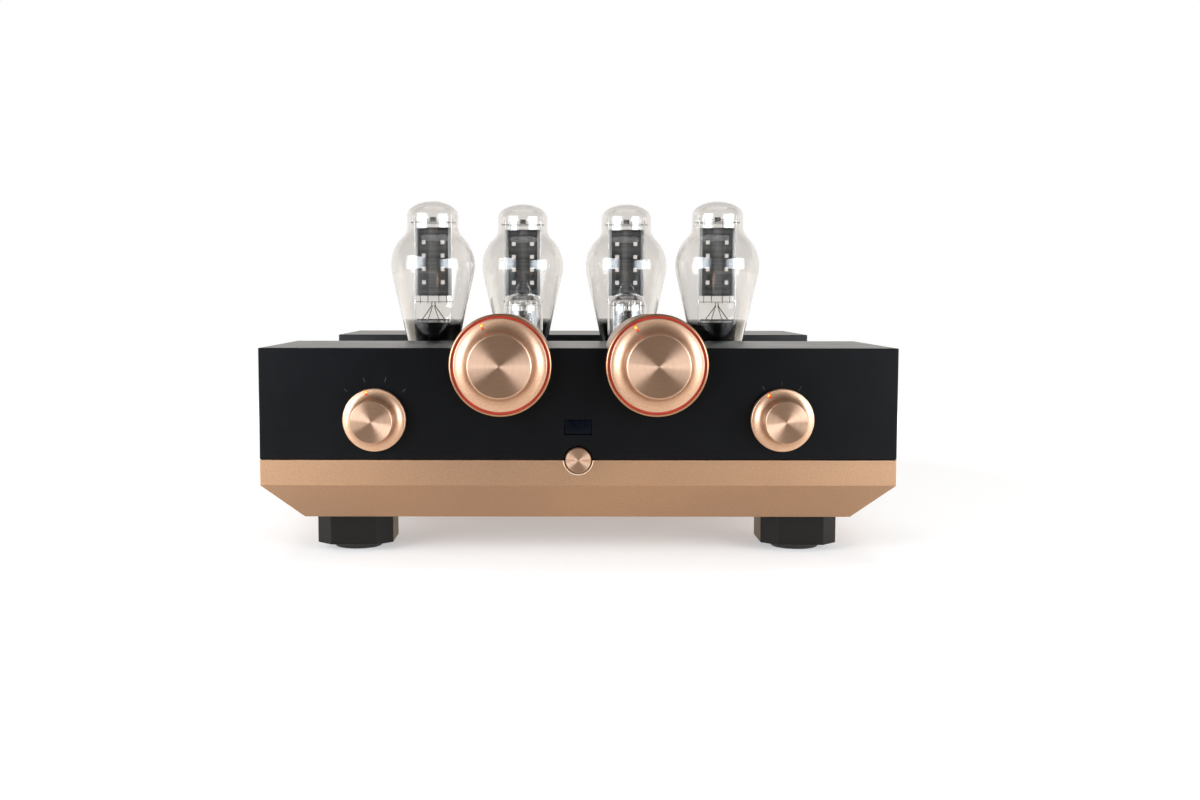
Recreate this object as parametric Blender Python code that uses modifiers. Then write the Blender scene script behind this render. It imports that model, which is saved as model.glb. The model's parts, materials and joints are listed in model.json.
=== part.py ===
"""Tube amplifier: a black front block with four knobs over a copper tray, a sunken
bay with four power tubes and two driver tubes, and a rear block for the transformers.

Metres, +Z up, the front faces -Y. The origin is on the floor under the object's middle.
Run with: blender --background --python part.py
"""

import math

import bmesh
import bpy
from mathutils import Matrix, Vector

# ---------------------------------------------------------------- driving dimensions
WIDTH = 0.416  # front block and tray
REAR_WIDTH = 0.402  # tube deck and rear block
FRONT_DEPTH = 0.134
BAY_DEPTH = 0.150
REAR_DEPTH = 0.126
DEPTH = FRONT_DEPTH + BAY_DEPTH + REAR_DEPTH

PAD_HEIGHT = 0.0045
FOOT_HEIGHT = 0.022
CHAMFER = 0.0245  # the tray's sides lean in at 45 degrees by this much
BAND_HEIGHT = 0.017
BODY_HEIGHT = 0.073
BAY_DROP = 0.042  # tube deck below the blocks' top

GAP = 0.0003  # clearance between pieces that touch
PANEL_THICK = 0.010
TRAY_WALL = 0.003
TRAY_LIP = 0.014
COVER_WALL = 0.003

FOOT_WIDTH = 0.052
FOOT_CORNER = 0.0103
FOOT_X = 0.153
FOOT_INSET = 0.0645
PAD_RADIUS = 0.0175

VOLUME_X = 0.0504
VOLUME_DROP = 0.0106  # knob axis below the top face
BARREL_RADIUS = 0.0320
BARREL_WALL = 0.0015
LIP_RADIUS = 0.0331  # barrel's wider mouth round the knob
LIP_LENGTH = 0.0085
BARREL_LENGTH = 0.066  # behind the front face
RIM_REACH = 0.013  # barrel rim in front of the front face
VOLUME_REACH = 0.029
SELECTOR_X = 0.1324
SELECTOR_DROP = 0.0465
SELECTOR_REACH = 0.021
BUTTON_RADIUS = 0.0085
BUTTON_HOLE = 0.0093
DISPLAY_WIDTH = 0.0178
DISPLAY_HEIGHT = 0.0094

# angles of the pointers at rest, clockwise from straight up as seen from the front
VOLUME_TURNS = {"left": -25.0, "right": -30.0}
SELECTOR_TURNS = {"left": -15.0, "right": -30.0}

# tube centres: x, and distance behind the front face
POWER_TUBES = {
    "power_tube_1": (-0.1087, 0.1635),
    "power_tube_2": (-0.0409, 0.1990),
    "power_tube_3": (0.0409, 0.1990),
    "power_tube_4": (0.1087, 0.1635),
}
DRIVER_TUBES = {
    "driver_tube_left": (-0.0395, 0.1545),
    "driver_tube_right": (0.0395, 0.1545),
}
BULB_TOP = 0.1053  # power tube's top above the blocks' top
BULB_RADIUS = 0.0319
BULB_NECK = 0.0194
DRIVER_TOP = 0.0363
DRIVER_RADIUS = 0.0150
GLASS_WALL = 0.0011

REAR_REACH = 0.021  # speaker terminals behind the rear panel

# ---------------------------------------------------------------- derived places
Z_BASE = PAD_HEIGHT + FOOT_HEIGHT
Z_BAND = Z_BASE + CHAMFER
Z_SEAM = Z_BAND + BAND_HEIGHT
Z_TOP = Z_SEAM + BODY_HEIGHT
Z_DECK = Z_TOP - BAY_DROP
Y_FRONT = -(DEPTH + REAR_REACH - VOLUME_REACH) / 2
REAR_START = FRONT_DEPTH + BAY_DEPTH
DISPLAY_Z = Z_SEAM + 0.0215

parts = bpy.data.collections.new("tube_amplifier")
cutters = bpy.data.collections.new("cutters")


def place(x, behind, z):
    """A point given by its distance behind the front face."""
    return Vector((x, Y_FRONT + behind, z))


# ---------------------------------------------------------------- materials
def material(name, colour, roughness, metallic=0.0, alpha=1.0):
    made = bpy.data.materials.new(name)
    made.use_nodes = True
    shader = made.node_tree.nodes["Principled BSDF"]
    shader.inputs["Base Color"].default_value = (*colour, 1.0)
    shader.inputs["Roughness"].default_value = roughness
    shader.inputs["Metallic"].default_value = metallic
    shader.inputs["Alpha"].default_value = alpha
    return made


COPPER = material("copper_satin", (0.80, 0.50, 0.33), 0.35, 1.0)
BLACK = material("black_anodised", (0.018, 0.018, 0.02), 0.45, 0.6)
FOOT_BLACK = material("foot_black", (0.03, 0.03, 0.03), 0.5, 0.4)
RUBBER = material("rubber", (0.02, 0.02, 0.02), 0.85)
GLASS = material("clear_glass", (0.9, 0.92, 0.92), 0.03, 0.0, 0.25)
ELECTRODE = material("carbonised_plate", (0.06, 0.06, 0.06), 0.6, 0.5)
BAKELITE = material("black_bakelite", (0.02, 0.018, 0.016), 0.3)
CERAMIC = material("white_ceramic", (0.85, 0.84, 0.8), 0.4)
GLOW = material("red_light_guide", (0.75, 0.05, 0.02), 0.3)
WINDOW = material("display_glass", (0.01, 0.012, 0.016), 0.1)
STEEL = material("bright_steel", (0.6, 0.6, 0.6), 0.3, 1.0)
BRASS = material("plated_brass", (0.83, 0.62, 0.25), 0.25, 1.0)
PLASTIC = material("black_plastic", (0.02, 0.02, 0.02), 0.4)
VARNISH = material("transformer_varnish", (0.10, 0.05, 0.03), 0.45)
BOARD = material("circuit_board", (0.02, 0.16, 0.07), 0.5)


# ---------------------------------------------------------------- building tools
def add_object(name, mesh, finish, collection=parts, location=(0, 0, 0)):
    obj = bpy.data.objects.new(name, mesh)
    obj.location = location
    if finish:
        mesh.materials.append(finish)
    collection.objects.link(obj)
    return obj


def add_box(bm, low, high):
    low, high = Vector(low), Vector(high)
    size = Matrix.Diagonal((*(high - low), 1))
    bmesh.ops.create_cube(bm, size=1, matrix=Matrix.Translation((low + high) / 2) @ size)


def add_rod(bm, start, end, radius, segments=16, end_radius=None):
    """A cylinder, or a cone frustum, from one point to another."""
    start, end = Vector(start), Vector(end)
    along = end - start
    turn = along.to_track_quat("Z", "Y").to_matrix().to_4x4()
    bmesh.ops.create_cone(
        bm,
        cap_ends=True,
        segments=segments,
        radius1=radius,
        radius2=radius if end_radius is None else end_radius,
        depth=along.length,
        matrix=Matrix.Translation((start + end) / 2) @ turn,
    )


def solid(name, bm, finish, collection=parts, location=(0, 0, 0)):
    mesh = bpy.data.meshes.new(name)
    bm.to_mesh(mesh)
    bm.free()
    return add_object(name, mesh, finish, collection, location)


def smooth(obj):
    obj.data.shade_smooth()
    obj.data.set_sharp_from_angle(angle=math.radians(35))
    return obj


def box(name, low, high, finish, bevel=0.0):
    bm = bmesh.new()
    add_box(bm, low, high)
    obj = solid(name, bm, finish)
    if bevel:
        soften(obj, bevel)
    return obj


def soften(obj, width, segments=1):
    bevel = obj.modifiers.new("edges", "BEVEL")
    bevel.width = width
    bevel.segments = segments


def shell_of(obj, thickness):
    """Gives an open surface its thickness, inwards."""
    wall = obj.modifiers.new("wall", "SOLIDIFY")
    wall.thickness = thickness
    wall.offset = -1
    wall.use_even_offset = True


def turned(name, profile, finish, location, segments=32, ring=False, collection=parts):
    """A turned piece about its own Z. The profile is (radius, height) points, and runs
    down the outer side. A ring's profile closes on itself."""
    mesh = bpy.data.meshes.new(name)
    edges = [(i, i + 1) for i in range(len(profile) - 1)]
    if ring:
        edges.append((len(profile) - 1, 0))
    mesh.from_pydata([(radius, 0, height) for radius, height in profile], edges, [])
    obj = add_object(name, mesh, finish, collection, location)
    screw = obj.modifiers.new("turn", "SCREW")
    screw.steps = screw.render_steps = segments
    screw.use_merge_vertices = True
    screw.merge_threshold = 0.00001
    screw.use_smooth_shade = True
    return obj


def face_front(obj, turn=0.0):
    """Turns a piece made about Z so that its +Z points out of the front, and its own +Y
    points up, then clockwise by the angle in degrees as seen from the front."""
    obj.rotation_euler = (math.pi / 2, math.radians(turn), 0)
    return obj


def combine(obj, bm, operation="DIFFERENCE", match=None):
    """Cuts the shapes in bm out of obj, or joins them to it with UNION. The shapes are in
    world coordinates, or in the frame of the object that match names."""
    tool = solid(f"{obj.name}_{operation.lower()}", bm, None, cutters)
    if match:
        tool.location = match.location
        tool.rotation_euler = match.rotation_euler
    tool.hide_render = True
    tool.display_type = "WIRE"
    boolean = obj.modifiers.new(operation.lower(), "BOOLEAN")
    boolean.operation = operation
    boolean.object = tool
    boolean.use_self = operation == "UNION"
    return obj


def arc(centre, radius, first, last, steps):
    """Points (radius, height) on an arc, angles in degrees from +radius towards +height."""
    angles = [first + (last - first) * i / steps for i in range(steps + 1)]
    return [
        (
            centre[0] + radius * math.cos(math.radians(a)),
            centre[1] + radius * math.sin(math.radians(a)),
        )
        for a in angles
    ]


# ---------------------------------------------------------------- casing
def base_tray():
    """Copper pan: a floor, sides that lean out at 45 degrees, a band and an inner lip."""
    bm = bmesh.new()
    middle = Y_FRONT + DEPTH / 2

    def loop(inset, z):
        x, y = WIDTH / 2 - inset, DEPTH / 2 - inset
        corners = ((-x, -y), (x, -y), (x, y), (-x, y))
        return [bm.verts.new((cx, middle + cy, z)) for cx, cy in corners]

    loops = [
        loop(CHAMFER, Z_BASE),
        loop(0, Z_BAND),
        loop(0, Z_SEAM),
        loop(TRAY_LIP, Z_SEAM),
    ]
    bm.faces.new(reversed(loops[0]))
    for lower, upper in zip(loops, loops[1:]):
        for i in range(4):
            j = (i + 1) % 4
            bm.faces.new((lower[i], lower[j], upper[j], upper[i]))
    tray = solid("base_tray", bm, COPPER)
    shell_of(tray, TRAY_WALL)
    holes = bmesh.new()
    add_rod(holes, place(0, -0.01, Z_SEAM), place(0, 0.03, Z_SEAM), BUTTON_HOLE, 32)
    for row in (-1, 1):
        for i in range(5):
            x = (i - 2) * 0.028
            y = middle + row * 0.075
            low = (x - 0.0018, y - 0.028, Z_BASE - 0.01)
            add_box(holes, low, (x + 0.0018, y + 0.028, Z_BASE + 0.01))
    return combine(tray, holes)


def barrel_hole(bm, x, radius, end):
    z = Z_TOP - VOLUME_DROP
    add_rod(bm, place(x, -0.01, z), place(x, end, z), radius, 24)


def front_panel():
    low = place(-WIDTH / 2, 0, Z_SEAM + GAP)
    panel = box("front_panel", low, place(WIDTH / 2, PANEL_THICK, Z_TOP), BLACK)
    soften(panel, 0.0004)
    holes = bmesh.new()
    for side in (-1, 1):
        barrel_hole(holes, side * VOLUME_X, BARREL_RADIUS + GAP, 0.02)
        z = Z_TOP - SELECTOR_DROP
        x = side * SELECTOR_X
        add_rod(holes, place(x, -0.01, z), place(x, 0.02, z), 0.0047)
    add_rod(holes, place(0, -0.01, Z_SEAM), place(0, 0.02, Z_SEAM), BUTTON_HOLE, 32)
    low = place(-DISPLAY_WIDTH / 2 - GAP, -0.01, DISPLAY_Z - DISPLAY_HEIGHT / 2 - GAP)
    high = place(DISPLAY_WIDTH / 2 + GAP, 0.02, DISPLAY_Z + DISPLAY_HEIGHT / 2 + GAP)
    add_box(holes, low, high)
    return combine(panel, holes)


def display_window():
    low = place(-DISPLAY_WIDTH / 2, 0.0008, DISPLAY_Z - DISPLAY_HEIGHT / 2)
    high = place(DISPLAY_WIDTH / 2, 0.0048, DISPLAY_Z + DISPLAY_HEIGHT / 2)
    return box("display_window", low, high, WINDOW)


def open_case(name, low, high, missing):
    """A sheet-metal case: a box without the faces whose outward normals are in missing."""
    bm = bmesh.new()
    add_box(bm, low, high)
    bm.normal_update()
    gone = [f for f in bm.faces if any((f.normal - Vector(n)).length < 0.1 for n in missing)]
    bmesh.ops.delete(bm, geom=gone, context="FACES")
    case = solid(name, bm, BLACK)
    shell_of(case, COVER_WALL)
    return case


FRONT, BACK, UNDER = (0, -1, 0), (0, 1, 0), (0, 0, -1)


def front_cover():
    low = place(-WIDTH / 2, PANEL_THICK + GAP, Z_SEAM + GAP)
    cover = open_case("front_cover", low, place(WIDTH / 2, FRONT_DEPTH, Z_TOP), (FRONT, UNDER))
    holes = bmesh.new()
    for side in (-1, 1):
        barrel_hole(holes, side * VOLUME_X, BARREL_RADIUS + GAP, BARREL_LENGTH + GAP)
    return combine(cover, holes)


def tube_deck():
    low = place(-REAR_WIDTH / 2, FRONT_DEPTH + GAP, Z_SEAM + GAP)
    high = place(REAR_WIDTH / 2, REAR_START - GAP, Z_DECK)
    deck = open_case("tube_deck", low, high, (FRONT, BACK, UNDER))
    holes = bmesh.new()
    above, below = Z_DECK + 0.01, Z_DECK - 0.01
    for x, y in POWER_TUBES.values():
        add_rod(holes, place(x, y, below), place(x, y, above), POWER_SOCKET + GAP, 12)
    for x, y in DRIVER_TUBES.values():
        add_rod(holes, place(x, y, below), place(x, y, above), DRIVER_SOCKET + GAP, 12)
    return combine(deck, holes)


def rear_cover():
    low = place(-REAR_WIDTH / 2, REAR_START, Z_SEAM + GAP)
    high = place(REAR_WIDTH / 2, DEPTH - REAR_PANEL_THICK - GAP, Z_TOP)
    return open_case("rear_cover", low, high, (BACK, UNDER))


REAR_PANEL_THICK = 0.003
INLET_X, INLET_Z = 0.150, Z_SEAM + 0.034
INLET_SIZE = (0.0275, 0.0200)
JACKS_X, JACKS_Z = 0.030, Z_SEAM + 0.036
JACK_PITCH, JACK_ROWS, JACK_COLUMNS = 0.022, 2, 3
POSTS_X, POSTS_Z = -0.125, Z_SEAM + 0.036
POST_PITCH, POST_COUNT = 0.027, 4


def rear_panel():
    low = place(-REAR_WIDTH / 2, DEPTH - REAR_PANEL_THICK, Z_SEAM + GAP)
    panel = box("rear_panel", low, place(REAR_WIDTH / 2, DEPTH, Z_TOP), BLACK)
    holes = bmesh.new()
    near, far = DEPTH - 0.02, DEPTH + 0.02
    half_x, half_z = INLET_SIZE[0] / 2 + GAP, INLET_SIZE[1] / 2 + GAP
    low = place(INLET_X - half_x, near, INLET_Z - half_z)
    add_box(holes, low, place(INLET_X + half_x, far, INLET_Z + half_z))
    for x, z in jack_places():
        add_rod(holes, place(x, near, z), place(x, far, z), 0.0060, 6)
    for x in post_places():
        add_rod(holes, place(x, near, POSTS_Z), place(x, far, POSTS_Z), 0.0060, 6)
    for i in range(6):
        x = 0.092 + i * 0.0060
        add_box(holes, place(x, near, Z_SEAM + 0.018), place(x + 0.0025, far, Z_SEAM + 0.056))
    return combine(panel, holes)


# ---------------------------------------------------------------- feet
def feet():
    for row, y in (("front", FOOT_INSET), ("rear", DEPTH - FOOT_INSET)):
        for side, x in (("left", -FOOT_X), ("right", FOOT_X)):
            middle = place(x, y, PAD_HEIGHT + FOOT_HEIGHT / 2)
            half = Vector((FOOT_WIDTH / 2, FOOT_WIDTH / 2, FOOT_HEIGHT / 2 - GAP / 2))
            bm = bmesh.new()
            add_box(bm, middle - half, middle + half)
            upright = [e for e in bm.edges if abs(e.verts[0].co.z - e.verts[1].co.z) > 0.01]
            bmesh.ops.bevel(
                bm, geom=upright, offset=FOOT_CORNER, segments=1, affect="EDGES"
            )
            solid(f"foot_{row}_{side}", bm, FOOT_BLACK)
            top = PAD_HEIGHT - GAP
            profile = [(0, top), (PAD_RADIUS, top), (PAD_RADIUS, 0.001)]
            profile += [(PAD_RADIUS - 0.001, 0), (0, 0)]
            turned(f"foot_pad_{row}_{side}", profile, RUBBER, place(x, y, 0), 16)


# ---------------------------------------------------------------- volume controls
KNOB_RADIUS = 0.0303
VOLUME_BOSS = 0.0209
SHAFT_RADIUS = 0.003


def flared_knob(name, rim, boss, rim_reach, reach, hub, hub_end, bore_end, finish, location, turn):
    """A turned knob: a flat-faced boss that flares in a hollow curve out to a thin rim, with
    a hub behind it. Heights are out of the front face. A notch in the rim is its pointer."""
    flare = rim - boss
    profile = [(0, reach), (boss - 0.0008, reach), (boss, reach - 0.0008)]
    profile += arc((rim, rim_reach + flare), flare, 180, 270, 4)
    profile += [(rim, rim_reach - 0.004), (hub, rim_reach - 0.004), (hub, hub_end)]
    if bore_end is None:
        profile.append((0, hub_end))
    else:
        bore = SHAFT_RADIUS + GAP
        profile += [(bore, hub_end), (bore, bore_end), (0, bore_end)]
    knob = face_front(turned(name, profile, finish, location, 24), turn)
    notch = bmesh.new()
    low = (-0.0007, rim - flare * 0.42, rim_reach - 0.01)
    add_box(notch, low, (0.0007, rim + 0.002, rim_reach + 0.01))
    return combine(knob, notch, match=knob)


def volume_control(side, x):
    centre = place(x, 0, Z_TOP - VOLUME_DROP)
    turn = VOLUME_TURNS[side]
    mouth, inner = LIP_RADIUS - BARREL_WALL, BARREL_RADIUS - BARREL_WALL
    back, lip_end = -BARREL_LENGTH, RIM_REACH - LIP_LENGTH
    barrel = [(mouth, RIM_REACH - 0.0003), (mouth + 0.0005, RIM_REACH)]
    barrel += [(LIP_RADIUS - 0.0005, RIM_REACH), (LIP_RADIUS, RIM_REACH - 0.0005)]
    barrel += [(LIP_RADIUS, lip_end + 0.001), (BARREL_RADIUS, lip_end), (BARREL_RADIUS, back)]
    barrel += [(0.006, back), (0.006, back + 0.003), (inner, back + 0.003)]
    barrel += [(inner, lip_end), (mouth, lip_end)]
    face_front(turned(f"knob_barrel_{side}", barrel, COPPER, centre, 24, ring=True))

    lip_in, guide_out = KNOB_RADIUS + GAP, mouth - GAP
    guide = [(lip_in, RIM_REACH - 0.0008), (guide_out, RIM_REACH - 0.0008)]
    guide += [(guide_out, RIM_REACH - 0.008), (lip_in, RIM_REACH - 0.008)]
    face_front(turned(f"glow_ring_{side}", guide, GLOW, centre, 24, ring=True))

    flared_knob(
        f"volume_knob_{side}", KNOB_RADIUS, VOLUME_BOSS, RIM_REACH, VOLUME_REACH,
        0.008, 0.001, 0.021, COPPER, centre, turn,
    )
    shaft = bmesh.new()
    add_rod(shaft, (0, 0, -0.036), (0, 0, 0.0205), SHAFT_RADIUS, 12)
    shaft_piece = solid(f"volume_shaft_{side}", shaft, STEEL, location=centre)
    face_front(shaft_piece, turn)

    bore = SHAFT_RADIUS + GAP
    body = [(0, -0.038), (bore, -0.038), (bore, -0.008), (0.005, -0.008), (0.005, -0.016)]
    body += [(0.024, -0.016), (0.024, -0.058), (0, -0.058)]
    face_front(turned(f"volume_attenuator_{side}", body, PLASTIC, centre, 16))


# ---------------------------------------------------------------- selectors and button
STEM_RADIUS = 0.004


def selector(side, x):
    centre = place(x, 0, Z_TOP - SELECTOR_DROP)
    flared_knob(
        f"selector_knob_{side}", 0.0205, 0.0137, 0.0055, SELECTOR_REACH,
        STEM_RADIUS, -0.030, None, COPPER, centre, SELECTOR_TURNS[side],
    )
    bore = STEM_RADIUS + GAP
    back_face = -PANEL_THICK - GAP
    body = [(0, -0.032), (bore, -0.032), (bore, back_face), (0.009, back_face)]
    body += [(0.009, -0.014), (0.018, -0.014), (0.018, -0.050), (0, -0.050)]
    face_front(turned(f"selector_switch_{side}", body, PLASTIC, centre, 12))


def power_control():
    """The button straddles the seam between the panel and the tray."""
    centre = place(0, 0, Z_SEAM)
    profile = [(0, 0.0035), (BUTTON_RADIUS - 0.0005, 0.0035), (BUTTON_RADIUS, 0.003)]
    profile += [(BUTTON_RADIUS, -0.011), (STEM_RADIUS, -0.011), (STEM_RADIUS, -0.026), (0, -0.026)]
    face_front(turned("power_button", profile, COPPER, centre, 20))
    low, high = place(-0.009, 0.018, Z_SEAM - 0.009), place(0.009, 0.046, Z_SEAM + 0.009)
    switch = box("power_switch", low, high, PLASTIC)
    bore = bmesh.new()
    add_rod(bore, place(0, 0.01, Z_SEAM), place(0, 0.033, Z_SEAM), STEM_RADIUS + GAP)
    combine(switch, bore)


# ---------------------------------------------------------------- tubes
POWER_SOCKET = 0.0210
DRIVER_SOCKET = 0.0168
SOCKET_RISE = 0.0015
SOCKET_FLANGE = 0.0025  # wider than the hole, under the deck
BASE_START = SOCKET_RISE + GAP  # tube base above the deck
BASE_TOP = Z_TOP - 0.0045
PIN_LENGTH = 0.0145


def bulb_profile():
    """Outline of a shouldered bulb: dome, neck, two-arc shoulder, taper and straight foot."""
    top = Z_TOP + BULB_TOP
    dome = 0.0108
    shoulder_angle = math.radians(46)
    neck_foot = Z_TOP + 0.0862
    spread = BULB_RADIUS - BULB_NECK
    reach = spread / (1 - math.cos(shoulder_angle))
    hollow = 0.011
    crown = reach - hollow
    lower = 0.036
    taper = math.radians(12.66)
    points = []
    for i in range(4):
        a = math.radians(90 * i / 3)
        points.append((BULB_NECK * math.sin(a), top - dome * (1 - math.cos(a))))
    points.append((BULB_NECK, neck_foot))
    rise = hollow * math.sin(shoulder_angle)
    points.append((BULB_NECK + hollow * (1 - math.cos(shoulder_angle)), neck_foot - rise))
    widest = neck_foot - reach * math.sin(shoulder_angle)
    for i in range(1, 3):
        a = shoulder_angle * (1 - i / 2)
        points.append((BULB_RADIUS - crown * (1 - math.cos(a)), widest + crown * math.sin(a)))
    radius = BULB_RADIUS - lower * (1 - math.cos(taper))
    height = widest - lower * math.sin(taper)
    points.append((radius, height))
    foot_radius = 0.0197
    points.append((foot_radius, height - (radius - foot_radius) / math.tan(taper)))
    points.append((foot_radius, Z_TOP - 0.012))
    return points


def pin_places(count, circle, first):
    return [
        (circle * math.cos(math.radians(first + i * 360 / count)),
         circle * math.sin(math.radians(first + i * 360 / count)))
        for i in range(count)
    ]


POWER_PINS = pin_places(4, 0.0082, 45)
DRIVER_PINS = pin_places(8, 0.0087, 22.5)


def tube_socket(name, x, y, radius, pins, pin_hole, key_hole, segments):
    top, under = Z_DECK + SOCKET_RISE, Z_DECK - COVER_WALL - GAP
    profile = [(key_hole, top), (radius, top), (radius, under), (radius + SOCKET_FLANGE, under)]
    profile += [(radius + SOCKET_FLANGE, under - 0.002), (radius - 0.0025, Z_DECK - 0.013)]
    profile.append((key_hole, Z_DECK - 0.013))
    profile = [(r, z - Z_DECK) for r, z in profile]
    socket = turned(name, profile, CERAMIC, place(x, y, Z_DECK), segments, ring=True)
    holes = bmesh.new()
    for px, py in pins:
        hole = place(x + px, y + py, 0)
        add_rod(holes, (*hole.xy, Z_DECK - 0.02), (*hole.xy, Z_DECK + 0.01), pin_hole, 6)
    return combine(socket, holes)


def tube_base(name, x, y, radius, bore, top, pins, pin_radius, key_radius, segments):
    """A cup that holds the glass, with contact pins and a locating key below."""
    bottom = Z_DECK + BASE_START
    profile = [(0, bottom + 0.003), (bore, bottom + 0.003), (bore, top), (radius - 0.0003, top)]
    profile += [(radius, top - 0.0006), (radius, bottom), (0, bottom)]
    cup = turned(name, [(r, z - bottom) for r, z in profile], BAKELITE, place(x, y, bottom), segments)
    added = bmesh.new()
    for px, py in pins:
        spot = place(x + px, y + py, 0)
        ends = (*spot.xy, bottom + 0.0015), (*spot.xy, bottom - PIN_LENGTH)
        add_rod(added, *ends, pin_radius, 6)
    if key_radius:
        spot = place(x, y, 0)
        ends = (*spot.xy, bottom + 0.0015), (*spot.xy, bottom - PIN_LENGTH)
        add_rod(added, *ends, key_radius, 8)
    return combine(cup, added, "UNION")


def electrodes(name, x, y):
    """The anode box between two mica discs, on rods that stand in the glass stem."""
    anode_foot, anode_head = Z_TOP + 0.0336, Z_TOP + 0.0853
    bm = bmesh.new()
    add_box(bm, place(x - 0.0135, y - 0.0045, anode_foot), place(x + 0.0135, y + 0.0045, anode_head))
    assembly = solid(name, bm, ELECTRODE)
    added = bmesh.new()
    upper, lower = Z_TOP + 0.0892, Z_TOP + 0.0290
    for z, radius in ((upper, 0.0168), (lower, 0.0156)):
        add_rod(added, place(x, y, z - 0.0004), place(x, y, z + 0.0004), radius, 10)
    for side in (-1, 1):
        spot = x + side * 0.0113
        add_rod(added, place(spot, y, Z_TOP + 0.012), place(spot, y, upper + 0.003), 0.0006, 4)
    add_box(added, place(x - 0.0125, y - 0.002, Z_TOP - 0.010), place(x + 0.0125, y + 0.002, Z_TOP + 0.015))
    return combine(assembly, added, "UNION")


def power_tubes():
    for name, (x, y) in POWER_TUBES.items():
        centre = place(x, y, 0)
        glass = turned(f"{name}_glass", bulb_profile(), GLASS, centre, 16)
        shell_of(glass, GLASS_WALL)
        bore = 0.0197 + GAP
        tube_base(f"{name}_base", x, y, 0.0211, bore, BASE_TOP, POWER_PINS, 0.0022, 0, 16)
        electrodes(f"{name}_electrodes", x, y)
        tube_socket(f"{name}_socket", x, y, POWER_SOCKET, POWER_PINS, 0.0026, 0.003, 12)


def driver_tubes():
    top, dome = Z_TOP + DRIVER_TOP, 0.0085
    outline = []
    for i in range(4):
        a = math.radians(90 * i / 3)
        outline.append((DRIVER_RADIUS * math.sin(a), top - dome * (1 - math.cos(a))))
    outline.append((DRIVER_RADIUS, Z_TOP - 0.024))
    for name, (x, y) in DRIVER_TUBES.items():
        glass = turned(f"{name}_glass", outline, GLASS, place(x, y, 0), 16)
        shell_of(glass, GLASS_WALL)
        bore = DRIVER_RADIUS + GAP
        top_of_base = Z_TOP - 0.017
        tube_base(f"{name}_base", x, y, 0.0165, bore, top_of_base, DRIVER_PINS, 0.0012, 0.0038, 16)
        tube_socket(f"{name}_socket", x, y, DRIVER_SOCKET, DRIVER_PINS, 0.0017, 0.0046, 12)


# ---------------------------------------------------------------- rear connectors
def jack_places():
    return [
        (JACKS_X + (i - (JACK_COLUMNS - 1) / 2) * JACK_PITCH,
         JACKS_Z + (j - (JACK_ROWS - 1) / 2) * JACK_PITCH)
        for i in range(JACK_COLUMNS)
        for j in range(JACK_ROWS)
    ]


def post_places():
    return [POSTS_X + (i - (POST_COUNT - 1) / 2) * POST_PITCH for i in range(POST_COUNT)]


def mains_inlet():
    half_x, half_z = INLET_SIZE[0] / 2, INLET_SIZE[1] / 2
    low = place(INLET_X - half_x - 0.004, DEPTH + GAP, INLET_Z - half_z - 0.004)
    high = place(INLET_X + half_x + 0.004, DEPTH + 0.0035, INLET_Z + half_z + 0.004)
    inlet = box("mains_inlet", low, high, PLASTIC)
    body = bmesh.new()
    low = place(INLET_X - half_x, DEPTH - 0.022, INLET_Z - half_z)
    add_box(body, low, place(INLET_X + half_x, DEPTH + 0.002, INLET_Z + half_z))
    combine(inlet, body, "UNION")
    hollow = bmesh.new()
    reach_x, reach_z = half_x - 0.0018, half_z - 0.0018
    low = place(INLET_X - reach_x, DEPTH - 0.016, INLET_Z - reach_z)
    add_box(hollow, low, place(INLET_X + reach_x, DEPTH + 0.01, INLET_Z + reach_z))
    return combine(inlet, hollow)


def input_jacks():
    """Six phono sockets on one insulating strip behind the panel."""
    xs = [x for x, _ in jack_places()]
    zs = [z for _, z in jack_places()]
    margin = 0.009
    front = DEPTH - REAR_PANEL_THICK - GAP
    low = place(min(xs) - margin, front - 0.002, min(zs) - margin)
    strip = box("input_jacks", low, place(max(xs) + margin, front, max(zs) + margin), BRASS)
    jacks = bmesh.new()
    for x, z in jack_places():
        add_rod(jacks, place(x, front - 0.001, z), place(x, DEPTH + 0.011, z), 0.0042, 8)
        add_rod(jacks, place(x, DEPTH + GAP, z), place(x, DEPTH + 0.003, z), 0.0070, 8)
    combine(strip, jacks, "UNION")
    bores = bmesh.new()
    for x, z in jack_places():
        add_rod(bores, place(x, DEPTH - 0.001, z), place(x, DEPTH + 0.02, z), 0.0017, 6)
    return combine(strip, bores)


def speaker_terminals():
    """Four binding posts on one insulating strip behind the panel."""
    front = DEPTH - REAR_PANEL_THICK - GAP
    margin = 0.011
    xs = post_places()
    low = place(xs[0] - margin, front - 0.003, POSTS_Z - margin)
    strip = box("speaker_terminals", low, place(xs[-1] + margin, front, POSTS_Z + margin), BRASS)
    posts = bmesh.new()
    for x in xs:
        add_rod(posts, place(x, front - 0.001, POSTS_Z), place(x, DEPTH + 0.010, POSTS_Z), 0.0035, 6)
        add_rod(posts, place(x, DEPTH + GAP, POSTS_Z), place(x, DEPTH + 0.004, POSTS_Z), 0.0095, 10)
        add_rod(posts, place(x, DEPTH + 0.008, POSTS_Z), place(x, DEPTH + REAR_REACH, POSTS_Z), 0.0085, 10)
    combine(strip, posts, "UNION")
    bores = bmesh.new()
    for x in xs:
        add_rod(bores, place(x, DEPTH + 0.010, POSTS_Z), place(x, DEPTH + 0.04, POSTS_Z), 0.0021, 6)
    return combine(strip, bores)


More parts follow.
